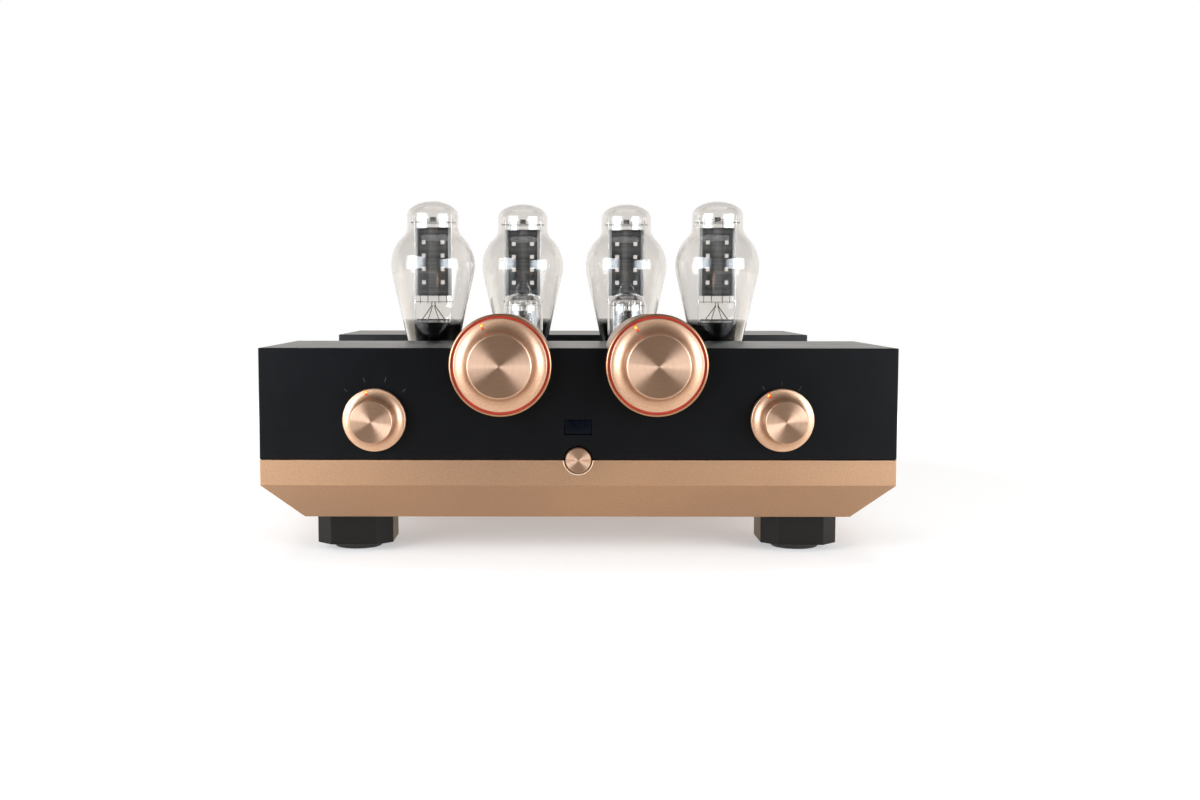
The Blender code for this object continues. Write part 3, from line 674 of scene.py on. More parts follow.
def slotFrame(name, rim, boss, rimReach):
    # dark lips at both sides of the lit groove
    pieces = []
    for sign, tag in ((-1, "A"), (1, "B")):
        x = sign * (knobShape["slotWidth"] / 2 + 0.00012)
        radii = [rim - 0.0006 - (rim - boss) * knobShape["slotReach"] * i / 8 for i in range(9)]
        line = [(x, r, flareHeight(r, rim, boss, rimReach)) for r in radii]
        pieces.append(rod(name + tag, line, 0.00016, "copper", 6))
    return pieces


def setKnob(kind, side, shape):
    # turned knob with its lit pointer, at rest on its joint
    body = f"{kind}_knob_{side}"
    face, flank = turnedKnob(f"{kind}Knob.{side}", **shape)
    flare = (shape["rim"], shape["boss"], shape["rimReach"])
    slot = pointerSlot(f"{kind}Pointer.{side}", *flare)
    lips = slotFrame(f"{kind}Lip.{side}", *flare)
    knob = joined(f"{kind}Knob.{side}", [flank, face, slot, *lips])
    settle(faceFront(knob, knobPlaces[body], knobRest[body]), body, (body,))
    return knobPlaces[body]


knobPlaces = {
    joint["child"]: Vector(joint["pos_m"]) for joint in frame["joints"] if joint["type"] == "hinge"
}
knobRest = {
    "volume_knob_left": -25.0, "volume_knob_right": -30.0,
    "selector_knob_left": -15.0, "selector_knob_right": -30.0,
}
volumeShape = {
    "rim": 0.0303, "boss": 0.0209, "rimReach": 0.0130, "reach": 0.0290,
    "hub": 0.008, "hubEnd": 0.0012, "chamfer": 0.0011,
}
selectorShape = {
    "rim": 0.0205, "boss": 0.0137, "rimReach": 0.0055, "reach": 0.0210,
    "hub": 0.0040, "hubEnd": -0.0295, "chamfer": 0.0005,
}
barrelShape = {
    "round": 0.00115, "lip": 0.0331, "mouth": 0.0316, "lipEnd": 0.0045, "outer": 0.0320,
    "inner": 0.0305, "rimReach": 0.0130, "back": -0.0660,
}


def barrelOutline(round, lip, mouth, lipEnd, outer, inner, rimReach, back):
    out = [
        (inner, back + 0.003), (inner, lipEnd), (mouth, lipEnd), (mouth, rimReach - 0.0003),
        (mouth + 0.0002, rimReach),
    ]
    out += arcPoints((lip - round, rimReach - round), round, 88, 0, 8)
    out += [
        (lip, lipEnd + 0.001), (outer, lipEnd), (outer, back + 0.0004), (outer - 0.0004, back),
        (0.0062, back), (0.006, back + 0.003),
    ]
    return eased(out, 0.0002, 3)


def squareRing(inner, outer, low, high):
    return [(inner, low), (inner, high), (outer, high), (outer, low)]


for side in ("left", "right"):
    place = setKnob("volume", side, volumeShape)
    barrel = lathe(
        f"knobBarrel.{side}", barrelOutline(**barrelShape), "lipCopper", 128, ring=True, sharpAngle=40)
    settle(faceFront(barrel, place), stands=(f"knob_barrel_{side}",))
    reach = barrelShape["rimReach"]
    outline = squareRing(0.03042, 0.03150, reach - 0.0078, reach - 0.0008)
    guide = lathe(f"glowRing.{side}", outline, "glow", 128, ring=True)
    settle(faceFront(guide, place), stands=(f"glow_ring_{side}",))
    dress(f"volume_shaft_{side}", "steel")
    dress(f"volume_attenuator_{side}", "plastic")

    place = setKnob("selector", side, selectorShape)
    outline = squareRing(0.0172, 0.0192, 0.0002, 0.0009)
    leak = lathe(f"selectorLight.{side}", outline, "leak", 96, ring=True)
    settle(faceFront(leak, place))
    dress(f"selector_switch_{side}", "plastic")
print("knobs done")


# power button, window and tick marks

button = {
    "radius": 0.0085, "reach": 0.0035, "chamfer": 0.0006, "tail": -0.011, "stem": 0.004,
    "stemEnd": -0.0258,
}


def makeButton(radius, reach, chamfer, tail, stem, stemEnd):
    face = [(0, reach - 0.0001), (radius - chamfer, reach)]
    flank = [
        (radius - chamfer, reach), (radius - 0.00015, reach - chamfer * 0.8),
        (radius, reach - chamfer * 1.3), (radius, tail), (stem, tail), (stem, stemEnd), (0, stemEnd),
    ]
    return joined("powerButton", [
        lathe("powerButtonSides", flank, "copper", 96), lathe("powerButtonFace", face, "spun", 96),
    ])


low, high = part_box("power_button")
place = Vector(((low.x + high.x) / 2, panelFace, (low.z + high.z) / 2))
settle(faceFront(makeButton(**button), place), "power_button", ("power_button",))
dress("power_switch", "plastic")

# painted highlight: a bright metal crescent only along the lower half of the button's recess, where its lip
# catches the light
recess = {"inner": 0.0093, "outer": 0.0100, "proud": 0.00012}
points, faces = [], []
for i in range(49):
    t = math.radians(-3 - 174 * i / 48)
    for radius, reach in (
        (recess["inner"], 0.0), (recess["inner"] + 0.0001, recess["proud"]),
        (recess["outer"] - 0.0003, recess["proud"]), (recess["outer"], 0.0),
    ):
        points.append((place.x + radius * math.cos(t), place.y - reach, place.z + radius * math.sin(t)))
    if i:
        faces += [((i - 1) * 4 + k, i * 4 + k, i * 4 + k + 1, (i - 1) * 4 + k + 1) for k in range(3)]
edge = makeMesh("buttonRecessHighlight", points, faces, "recessHighlight", True, 50)
settle(edge)

low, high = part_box("display_window")
pane = block("displayPane", low, high, "window", 0.0004, 3)
settle(pane, stands=("display_window",))

ticks = {"angles": (-30.0, 0.0, 30.0), "inner": 0.0222, "length": 0.0030, "width": 0.00035}
for side in ("left", "right"):
    center = knobPlaces[f"selector_knob_{side}"]
    angles = ticks["angles"] if side == "right" else (-45.0, -15.0, 15.0, 45.0)
    inner = ticks["inner"] if side == "right" else ticks["inner"] + 0.003
    for number, angle in enumerate(angles):
        a = math.radians(angle)
        along = Vector((math.sin(a), 0, math.cos(a)))
        start = center + along * inner
        end = center + along * (inner + ticks["length"])
        start.y = end.y = panelFace + 0.00005
        mark = rod(f"tick.{side}.{number}", [start, end], ticks["width"] / 2, "engraved", 6)
        settle(mark)
print("button, window and marks done")


# power tubes

bulb = {
    "top": 0.1053, "neck": 0.0194, "neckFoot": 0.0862, "dome": 0.0108, "widest": 0.0319,
    "hollow": 0.011, "shoulderAngle": 46.0, "lower": 0.036, "taper": 12.66, "foot": 0.0197,
    "footEnd": -0.0118, "wall": 0.0011,
}


def bulbOutline(b):
    # height 0 is the blocks' top face
    out = []
    for i in range(15):
        a = math.radians(90 * i / 14)
        out.append((b["neck"] * math.sin(a), b["top"] - b["dome"] * (1 - math.cos(a))))
    shoulder = math.radians(b["shoulderAngle"])
    taper = math.radians(b["taper"])
    reach = (b["widest"] - b["neck"]) / (1 - math.cos(shoulder))
    crown = reach - b["hollow"]
    out.append((b["neck"], (b["top"] - b["dome"] + b["neckFoot"]) / 2))
    for i in range(9):
        a = shoulder * i / 8
        out.append((b["neck"] + b["hollow"] * (1 - math.cos(a)), b["neckFoot"] - b["hollow"] * math.sin(a)))
    level = b["neckFoot"] - reach * math.sin(shoulder)
    for i in range(1, 15):
        a = shoulder * (1 - i / 14)
        out.append((b["widest"] - crown * (1 - math.cos(a)), level + crown * math.sin(a)))
    for i in range(1, 7):
        a = taper * i / 6
        out.append((b["widest"] - b["lower"] * (1 - math.cos(a)), level - b["lower"] * math.sin(a)))
    radius, height = out[-1]
    drop = (radius - b["foot"]) / math.tan(taper)
    for i in range(1, 7):
        out.append((radius + (b["foot"] - radius) * i / 6, height - drop * i / 6))
    out.append((b["foot"], b["footEnd"]))
    return out


def inset(outline, wall):
    # the same outline moved inwards by the wall's thickness
    points = [Vector(p) for p in outline]
    out = []
    for i, here in enumerate(points):
        before, after = points[max(i - 1, 0)], points[min(i + 1, len(points) - 1)]
        along = (after - before).normalized()
        side = Vector((along.y, -along.x))
        out.append((max(here.x + side.x * wall, 0.0) if here.x > 1e-6 else 0.0, here.y + side.y * wall))
    return out


def bulbGlass(name, outline, wall, place, segments=96):
    outer = list(outline)
    inner = inset(outline, wall)
    whole = outer + [(outer[-1][0] - wall * 0.5, outer[-1][1] - 0.0003)] + list(reversed(inner))
    made = lathe(name, whole, "glass", segments, sharpAngle=60)
    made.location = place
    return made


def getterBand(name, outline, wall, place):
    # the mirror coating, a skin just inside the glass
    inner = inset(outline, wall + 0.00025)
    band = [p for p in inner if -0.012 <= p[1] <= getterTop + 0.006]
    made = lathe(name, band, "getter", 96, sharpAngle=60)
    made.location = place
    return made


anode = {
    "halfWidth": 0.0108, "flangeEdge": 0.0135, "foot": 0.0336, "head": 0.0853,
    "wingDepth": 0.0015, "bulgeDepth": 0.0040, "bulgeHalf": 0.0040, "holeX": 0.0072,
    "holeSize": 0.0031, "firstHole": 0.0110, "holePitch": 0.01015, "holeCount": 4, "sheet": 0.0004,
}


def anodeDepth(x):
    a = anode
    t = min(1.0, abs(x) / a["bulgeHalf"])
    bulge = 0.5 + 0.5 * math.cos(math.pi * t ** 1.4)
    return a["wingDepth"] + (a["bulgeDepth"] - a["wingDepth"]) * bulge


def anodeBox(name):
    # two pressed sheets back to back, with square holes right through both wings
    a = anode
    half = a["holeSize"] / 2
    xs = {-a["halfWidth"], a["halfWidth"], 0.0}
    columns = [a["holeX"] - half, a["holeX"] + half, a["bulgeHalf"], a["halfWidth"] - 0.0008]
    for x in (*columns, 0.0034, 0.0028, 0.0021, 0.0014, 0.0007):
        xs |= {-x, x}
    zs = {a["foot"], a["head"], a["foot"] + 0.001, a["head"] - 0.001}
    levels = [a["head"] - a["firstHole"] - a["holePitch"] * i for i in range(a["holeCount"])]
    for level in levels:
        zs |= {level - half, level + half}
    xs, zs = sorted(xs), sorted(zs)
    points, faces = [], []
    for face in (-1, 1):
        start = len(points)
        for z in zs:
            for x in xs:
                points.append((x, face * anodeDepth(x), z))
        for k in range(len(zs) - 1):
            for i in range(len(xs) - 1):
                mx, mz = (xs[i] + xs[i + 1]) / 2, (zs[k] + zs[k + 1]) / 2
                if abs(abs(mx) - a["holeX"]) < half and any(abs(mz - level) < half for level in levels):
                    continue
                here = start + k * len(xs) + i
                above = here + len(xs)
                ring = [here, here + 1, above + 1, above]
                faces.append(ring if face < 0 else ring[::-1])
    made = makeMesh(name, points, faces, "anode", True, 30)
    sheet = made.modifiers.new("sheet", "SOLIDIFY")
    sheet.thickness = a["sheet"]
    sheet.offset = -1
    bpy.context.view_layer.objects.active = made
    bpy.ops.object.modifier_apply(modifier="sheet")
    return made


def micaDisc(name, radius, level, teeth=12):
    # stamped sheet with small teeth that bear on the glass
    points = []
    count = teeth * 6
    for z in (level - 0.0003, level + 0.0003):
        for i in range(count):
            r = radius if i % 6 < 3 else radius - 0.0012
            points.append((*circlePoint(r, 360 * i / count), z))
    return makeMesh(name, points, drumFaces(count), "mica", False)


def upright(x, y, low, high):
    return [(x, y, low), (x, y, high)]


def rods(name, rows):
    # rows of (part, line of points, radius, finish, sides)
    return [rod(name + part, line, radius, finish, count) for part, line, radius, finish, count in rows]


def sidePlate(name, near, far, half, low, high, finish, edge):
    # upright strip from one x to another, in the anode's plane
    first, last = sorted((near, far))
    return block(name, (first, -half, low), (last, half, high), finish, edge)


cage = {
    "upper": 0.0892, "lower": 0.0290, "post": 0.0140, "grids": (0.0042, 0.0100), "gridTop": 0.0925,
    "welds": (-0.0118, -0.0085, -0.0042, 0.0042, 0.0085, 0.0118), "strands": 8,
}


def powerElectrodes(name):
    a = anode
    upper, lower, foot, head = cage["upper"], cage["lower"], a["foot"], a["head"]
    pieces = [
        anodeBox(name),
        micaDisc(name + "MicaTop", 0.0170, upper),
        micaDisc(name + "MicaLow", 0.0156, lower),
    ]
    for s in (-1, 1):
        post = s * cage["post"]
        # folded flange at the sheet's side, with a dark seam between
        wing = s * a["halfWidth"]
        pieces += [
            sidePlate(name + "Flange", wing + s * 0.0006, s * a["flangeEdge"],
                      0.0006, foot, head, "flange", 0.0002),
            sidePlate(name + "Seam", wing - s * 0.0004, wing + s * 0.0008,
                      0.0003, foot, head, "anode", 0.0),
        ]
        # posts with eyelets, and the leads spreading from the lower mica down to the press
        outer = [(s * 0.0010, s * 0.001, lower), (s * 0.0014, s * 0.001, 0.0255), (s * 0.0090, 0, 0.0150)]
        inner = [(s * 0.0006, -s * 0.001, 0.0262), (s * 0.0012, -s * 0.001, 0.0245), (s * 0.0042, 0, 0.0150)]
        last = [(post, 0, 0.0130), (s * 0.0120, 0, 0.0108), (s * 0.0105, 0, 0.0060)]
        rows = [
            ("Post", upright(post, 0, 0.0120, 0.0950), 0.0004, "flange", 10),
            ("Eyelet", upright(post, 0, upper - 0.0010, upper + 0.0012), 0.0008, "nickel", 10),
            ("Foot", upright(post, 0, lower - 0.0012, lower + 0.0010), 0.0008, "nickel", 10),
            ("Lead", outer, 0.00038, "darkWire", 6),
            ("LeadInner", inner, 0.00032, "darkWire", 6),
            ("PostLead", last, 0.00045, "nickel", 8),
        ]
        # grid rods between the two sheets, with their cooling tips above the mica
        for x in cage["grids"]:
            rows += [
                ("Grid", upright(s * x, 0, head - 0.002, cage["gridTop"]), 0.0003, "darkWire", 8),
                ("GridLow", upright(s * x, 0, lower - 0.0012, foot + 0.002), 0.0003, "darkWire", 8),
            ]
        pieces += rods(name, rows)
    # hoop round the press with small welds that catch the light
    turns = [circlePoint(1, t) for t in range(0, 361, 20)]
    rows = [("Hoop", [(0.0118 * x, 0.0034 * y, 0.0152) for x, y in turns], 0.0004, "darkWire", 8)]
    for x in cage["welds"]:
        rows.append(("Weld", [(x, -0.0030, 0.0143), (x, -0.0034, 0.0160)], 0.0007, "nickel", 8))
    # filament: a wire zigzagging between hooks above and anchors below
    count = cage["strands"]
    strand = [(-0.0040 + 0.0080 * i / count, 0.0, 0.0885 if i % 2 else 0.0305) for i in range(count + 1)]
    rows.append(("Filament", strand, 0.00022, "nickel", 6))
    # spring bar and the small dark plate in the middle of the top mica
    bar = [(-0.0085, 0, upper + 0.0024), (0.0085, 0, upper + 0.0024)]
    rows.append(("Bar", bar, 0.0003, "nickel", 8))
    low, high = upper + 0.0005, upper + 0.0042
    stub = sidePlate(name + "Stub", -0.0022, 0.0022, 0.0012, low, high, "anode", 0.0003)
    return [*pieces, stub, *rods(name, rows)]


def glassPress(name, place):
    # flattened press that the leads go through
    press = block(name, (-0.0125, -0.0019, -0.0098), (0.0125, 0.0019, 0.0130), "glass", 0.0012, 3)
    press.location = place
    return press


def tubeBase(name, place, radius, bore, low, high, pins, pinRadius, keyRadius, pinLength):
    # heights are above the blocks' top face
    outline = eased([
        (0, low + 0.003), (bore, low + 0.003), (bore, high), (radius - 0.0004, high),
        (radius, high - 0.0008), (radius, low + 0.0035), (radius - 0.0006, low + 0.0030),
        (radius - 0.0006, low + 0.0024), (radius, low + 0.0018), (radius - 0.0004, low), (0, low),
    ], 0.0003, 2)
    pieces = [lathe(name, outline, "bakelite", 72, sharpAngle=40)]
    tip = low - pinLength
    pin = [(0, low), (pinRadius, low), (pinRadius, tip + 0.0012), (pinRadius * 0.55, tip), (0, tip)]
    pieces += [shifted(lathe(name + "Pin", pin, "nickel", 16), x, y) for x, y in pins]
    if keyRadius:
        key = [(0, low), (keyRadius, low), (keyRadius, tip + 0.0015), (keyRadius - 0.001, tip), (0, tip)]
        pieces.append(lathe(name + "Key", key, "bakelite", 32))
    made = joined(name, pieces)
    made.location = place
    return made


def socketRing(name, place, radius, hole, tall):
    outline = eased([
        (hole, tall - 0.0008), (hole + 0.0006, tall), (radius - 0.0006, tall), (radius, tall - 0.0005),
        (radius, -0.0033), (radius + 0.0024, -0.0033), (radius + 0.0024, -0.0053),
        (radius - 0.0025, -0.013), (hole, -0.013),
    ], 0.0003, 2)
    made = lathe(name, outline, "ceramic", 72, ring=True, sharpAngle=40)
    made.location = place
    return made


def fitTube(tube, kind, tag, outline, segments, parts, turn, stands, base, socket):
    # bulb, insides, base and socket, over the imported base's middle
    axis = middle(f"{tube}_base")
    place = Vector((axis.x, axis.y, blockTop))
    glass = bulbGlass(f"{kind}Bulb.{tag}", outline, bulb["wall"], place, segments)
    settle(glass, tube, (f"{tube}_glass",))
    inside = joined(f"{kind}Electrodes.{tag}", parts)
    inside.location = place
    inside.rotation_euler = (0, 0, math.radians(turn))
    settle(inside, tube, stands)
    if kind == "power":
        settle(glassPress(f"powerPress.{tag}", place), tube)
        mirror = getterBand(f"getterMirror.{tag}", outline, bulb["wall"], place)
        settle(mirror, tube)
    settle(tubeBase(f"{kind}Base.{tag}", place, **base), tube, (f"{tube}_base",))
    ring = socketRing(f"{kind}Socket.{tag}", Vector((axis.x, axis.y, deckTop)), **socket)
    settle(ring, stands=(f"{tube}_socket",))


seat = deckTop + 0.0018 - blockTop  # tube base's underside, from the blocks' top
powerBase = {
    "radius": 0.0211, "bore": 0.0200, "low": seat, "high": -0.0045, "pinRadius": 0.0022,
    "pins": [circlePoint(0.0082, 45 + 90 * i) for i in range(4)], "keyRadius": 0,
    "pinLength": 0.0145,
}
powerSocket = {"radius": 0.0210, "hole": 0.003, "tall": 0.0015}
powerOutline = bulbOutline(bulb)
for number in range(1, 5):
    tube = f"power_tube_{number}"
    parts = powerElectrodes(f"powerElectrodes.{number}")
    stands = (f"{tube}_electrodes",)
    fitTube(tube, "power", number, powerOutline, 96, parts, 0, stands, powerBase, powerSocket)
print("power tubes done")


# driver tubes

driver = {"radius": 0.0148, "top": 0.0363, "dome": 0.0110, "footEnd": -0.0238}


def driverOutline(d):
    out = [(0.0, d["top"])]
    for i in range(1, 15):
        a = math.radians(90 * i / 14)
        out.append((d["radius"] * math.sin(a) ** 0.9, d["top"] - d["dome"] * (1 - math.cos(a))))
    domeFoot = d["top"] - d["dome"]
    out += [(d["radius"], domeFoot + (d["footEnd"] - domeFoot) * i / 8) for i in range(1, 9)]
    return out


driverCage = {
    "upper": 0.0262, "lower": -0.0130, "wide": 0.0086, "deep": 0.0060, "grids": (0.0018, 0.0058),
}


def driverElectrodes(name):
    upper, lower = driverCage["upper"], driverCage["lower"]
    # blackened plate, oval with flattened sides, its seams at both ends
    count = 48
    points = []
    for z in (lower + 0.004, upper - 0.0040):
        for i in range(count):
            c, d = circlePoint(1, 360 * i / count)
            x = math.copysign(abs(c) ** 0.75, c) * driverCage["wide"]
            points.append((x, math.copysign(abs(d) ** 0.9, d) * driverCage["deep"], z))
    pieces = [makeMesh(name + "Plate", points, drumFaces(count), "darkPlate", True, 40)]
    pieces.append(micaDisc(name + "MicaTop", 0.0132, upper, 8))
    pieces.append(micaDisc(name + "MicaLow", 0.0132, lower, 8))
    # getter: a tilted open ring on a strap beside the mica
    ring = []
    for t in range(0, 341, 20):
        x, y = circlePoint(1, t)
        ring.append((-0.0050 + 0.0032 * x, -0.0050 + 0.0020 * y, upper + 0.0022 + 0.0010 * x))
    strap = [
        (-0.0018, -0.0050, upper + 0.0030), (-0.0010, -0.0030, upper + 0.0012), (-0.0010, -0.0020, upper),
    ]
    rows = [("GetterRing", ring, 0.0006, "nickel", 8), ("GetterStrap", strap, 0.0004, "nickel", 8)]
    for s in (-1, 1):
        pieces.append(sidePlate(
            name + "Flange", s * 0.0084, s * 0.0098, 0.0005, lower + 0.004, upper - 0.0040,
            "flange", 0.0001))
        rows += [
            ("Post", upright(s * 0.0104, 0, lower - 0.004, upper + 0.0030), 0.0005, "nickel", 8),
            ("Cathode", upright(s * 0.0036, 0, upper - 0.0045, upper + 0.0022), 0.0008, "whiteWire", 10),
        ]
        for x in driverCage["grids"]:
            for y in (0.0022, -0.0022):
                line = upright(s * x, y, upper - 0.0045, upper + 0.0028)
                rows.append(("Grid", line, 0.0004, "nickel", 8))
    return pieces + rods(name, rows)


driverBase = {
    "radius": 0.0165, "bore": 0.0153, "low": seat, "high": -0.017, "pinRadius": 0.0012,
    "pins": [circlePoint(0.0087, 22.5 + 45 * i) for i in range(8)], "keyRadius": 0.0038,
    "pinLength": 0.0145,
}
driverSocket = {"radius": 0.0168, "hole": 0.0046, "tall": 0.0015}
driverGlass = driverOutline(driver)
for side, turn in (("left", 12), ("right", -10)):
    parts = driverElectrodes(f"driverElectrodes.{side}")
    tube = f"driver_tube_{side}"
    fitTube(tube, "driver", side, driverGlass, 80, parts, turn, (), driverBase, driverSocket)
print("driver tubes done")


# inside and back

for node, finish in (
    ("mains_transformer", "winding"), ("output_transformer_left", "laminated"),
    ("output_transformer_right", "laminated"), ("main_board", "board"),
):
    dress(node, finish)
print("inside dressed")


# sockets and posts on the back

def backPiece(name, pieces, x, z, stands=()):
    # made about Z, now pointing out of the back: its X stays, its +Y points down
    made = joined(name, pieces)
    made.rotation_euler = (-math.pi / 2, 0, 0)
    made.location = (x, rearFace, z)
    return settle(made, stands=stands)


def knurled(piece, low, high, radius, cut=0.0004):
    # every other line of points drawn in, to leave straight knurls between two heights
    for point in piece.data.vertices:
        reach = math.hypot(point.co.x, point.co.y)
        step = round(math.atan2(point.co.y, point.co.x) / (2 * math.pi) * 72)
        if low < point.co.z < high and reach > radius - 0.0003 and step % 2:
            point.co.x *= 1 - cut / reach
            point.co.y *= 1 - cut / reach
    return piece


def socketScrew(name, radius, tall):
    # domed head with a six-sided socket
    head = [
        (radius * 0.5, tall * 0.35), (radius * 0.52, tall), (radius * 0.8, tall * 0.86),
        (radius, tall * 0.35), (radius, 0.0001),
    ]
    hole = [
        (radius * 0.52, tall), (radius * 0.46, tall * 0.9), (radius * 0.46, tall * 0.3), (0, tall * 0.3),
    ]
    return joined(name, [
        lathe(name, head, "blackSteel", 36, sharpAngle=35),
        lathe(name + "Socket", hole, "blackSteel", 6, sharpAngle=20),
    ])


jack = {
    "pitch": 0.022, "columns": 3, "washer": 0.0070, "nut": 0.0066, "barrel": 0.0042, "reach": 0.0108,
}


def inputJack(color, x, y):
    outer, nutEdge, bore, end = jack["washer"], jack["nut"], jack["barrel"], jack["reach"]
    washer = [
        (0.0044, 0.0004), (0.0044, 0.0011), (outer - 0.0003, 0.0011), (outer, 0.0008), (outer, 0.0004),
    ]
    nut = [(bore, 0.0012), (bore, 0.0027), (0.0058, 0.0029), (nutEdge, 0.0025), (nutEdge, 0.0012)]
    barrel = eased([
        (0.0030, 0.0010), (0.0030, end - 0.0010), (0.0034, end), (0.0039, end),
        (bore, end - 0.0006), (bore, 0.0024),
    ], 0.0001, 1)
    fill = squareRing(0.0029, 0.0018, 0.0030, 0.0072)
    contact = squareRing(0.0012, 0.0017, 0.0030, 0.0066)
    made = [
        lathe("jackWasher", washer, color, 40, ring=True),
        shifted(lathe("jackNut", nut, "gold", 6, ring=True, sharpAngle=20), turn=30),
        lathe("jackBarrel", barrel, "gold", 40),
        lathe("jackFill", fill, color, 32, ring=True),
        lathe("jackContact", contact, "gold", 24, ring=True),
    ]
    return [shifted(piece, x, y) for piece in made]


parts = []
for column in range(jack["columns"]):
    for row, color in ((-1, "whitePlastic"), (1, "redPlastic")):
        parts += inputJack(color, (column - 1) * jack["pitch"], row * jack["pitch"] / 2)
center = middle("input_jacks")
backPiece("inputJacks", parts, center.x, center.z, ("input_jacks",))

post = {
    "pitch": 0.027, "count": 4, "collar": 0.0095, "cap": 0.0085, "capEnd": 0.0078, "reach": 0.0208,
    "thread": 0.0034, "knurlLow": 0.0093, "knurlHigh": 0.0183,
}


def speakerPost(color, x):
    wide, cap, capEnd, thread, end = (post[k] for k in ("collar", "cap", "capEnd", "thread", "reach"))
    collar = eased([
        (thread, 0.0004), (wide, 0.0004), (wide, 0.0032), (wide - 0.0008, 0.0040), (0.0046, 0.0040),
        (0.0044, 0.0036), (thread, 0.0036),
    ], 0.0002, 2)
    core = [(thread, 0.0030)]
    for i in range(10):
        core += [(thread, 0.0040 + i * 0.0005), (0.0031, 0.00425 + i * 0.0005)]
    core.append((thread, 0.0092))
    grip = eased([
        (thread, 0.0082), (0.0074, 0.0082), (cap, 0.0090), (cap, 0.0185), (capEnd, 0.0192),
    ], 0.0002, 2)
    tip = eased([
        (capEnd, 0.0192), (0.0070, 0.0194), (0.0070, end - 0.0006), (0.0062, end), (0.0024, end),
        (0.0021, end - 0.0004), (0.0021, 0.0110), (0, 0.0110),
    ], 0.0002, 2)
    capPiece = lathe("postCap", grip, "gold", 72, sharpAngle=28)
    made = [
        lathe("postCollar", collar, color, 48, sharpAngle=35), lathe("postCore", core, "gold", 32),
        knurled(capPiece, post["knurlLow"], post["knurlHigh"], cap), lathe("postTip", tip, color, 48),
    ]
    return [shifted(piece, x) for piece in made]


parts = []
for number in range(post["count"]):
    x = (number - (post["count"] - 1) / 2) * post["pitch"]
    parts += speakerPost("redPlastic" if number % 2 else "plastic", x)
center = middle("speaker_terminals")
backPiece("speakerPosts", parts, center.x, center.z, ("speaker_terminals",))

inlet = {
    "wide": 0.0275, "tall": 0.0200, "flange": 0.0040, "proud": 0.0033, "deep": 0.0150,
    "cut": 0.0045, "shell": 0.0018,
}


def cutCorners(wide, tall, cutX, cutY):
    # rectangle about the middle, its two upper corners cut off
    right = [(wide, -tall), (wide, tall - cutY), (wide - cutX, tall)]
    left = [(-x, y) for x, y in right]
    return [left[0], *right, left[2], left[1]]


def grown(outline, scale):
    return [(x * scale, y * scale) for x, y in outline]


halfWide, halfTall = inlet["wide"] / 2, inlet["tall"] / 2
proud, shell = inlet["proud"], inlet["shell"]
mouth = cutCorners(halfWide - shell, halfTall - shell, inlet["cut"], inlet["cut"])
edgeTall = halfTall + inlet["flange"]
rim = cutCorners(halfWide + inlet["flange"], edgeTall, 0.003, edgeTall * 0.5)
rows = [
    (rim, 0.0004), (rim, proud - 0.0008), (grown(rim, 0.975), proud), (grown(mouth, 1.03), proud),
    (mouth, proud - 0.0005), (mouth, -inlet["deep"]),
]
points = [(x, -y, z) for row, z in rows for x, y in row]
faces = []
for k in range(0, len(points) - 6, 6):
    faces += [(k + i, k + (i + 1) % 6, k + 6 + (i + 1) % 6, k + 6 + i) for i in range(6)]
faces.append([len(points) - 6 + i for i in range(6)])
parts = [makeMesh("inletShell", points, faces, "plastic", True, 25)]
for x, y in ((0, -0.0030), (-0.0070, 0.0028), (0.0070, 0.0028)):
    low, high = (x - 0.0010, y - 0.0020, -inlet["deep"]), (x + 0.0010, y + 0.0020, -0.0020)
    parts.append(block("inletPin", low, high, "steel", 0.0005))
center = middle("mains_inlet")
backPiece("mainsInlet", parts, center.x, center.z, ("mains_inlet",))

screw = {"radius": 0.0029, "tall": 0.0016, "fromEdge": 0.009}
low, high = rearLow, rearHigh
margin = screw["fromEdge"]
center = (low + high) / 2
parts = []
for x in (low.x + margin, (low.x * 2 + high.x) / 3, (low.x + high.x * 2) / 3, high.x - margin):
    for z in (low.z + margin, high.z - margin):
        head = socketScrew("backScrew", screw["radius"], screw["tall"])
        turn = x * 9000 + z * 7000
        parts.append(shifted(head, x - center.x, center.z - z, 0.0001, turn))
backPiece("backScrews", parts, center.x, center.z)
print("back done")


# studio

studio = {
    "background": 1.0, "floorShade": 0.385, "floorWhite": (0.665, 0.655, 0.645, 1),
    "floorBlend": (0.48, 0.90), "paperFade": (0.85, 1.5), "paperEnd": (-0.95, -0.50),
    "floorAhead": 0.11, "bounce": (1.0, 0.86, 0.64, 1), "warmth": (1.0, 0.965, 0.925, 1),
    "ceilingGlow": 0.38, "zenith": 0.25, "aheadGlow": 0.035, "behindGlow": 1.0,
    "overheadGlow": 0.42, "boxAzimuth": 49.0, "boxDistance": 1.5, "boxSize": (1.75, 1.20),
    "boxPower": 9.9, "boxTone": (0.92, 1.0, 1.07, 1), "boxLift": 0.07,
    "topSize": (1.6, 1.2), "topPower": 16.0,
}
around = Vector((0, panelFace + 0.15, 0.19))


white, black = (1, 1, 1, 1), (0, 0, 0, 1)


def sheetBetween(name, low, high):
    mesh = bpy.data.meshes.new(name)
    corners = [(low[0], low[1], 0), (high[0], low[1], 0), (high[0], high[1], 0), (low[0], high[1], 0)]
    mesh.from_pydata(corners, [], [(0, 1, 2, 3)])
    return addObject(name, mesh)


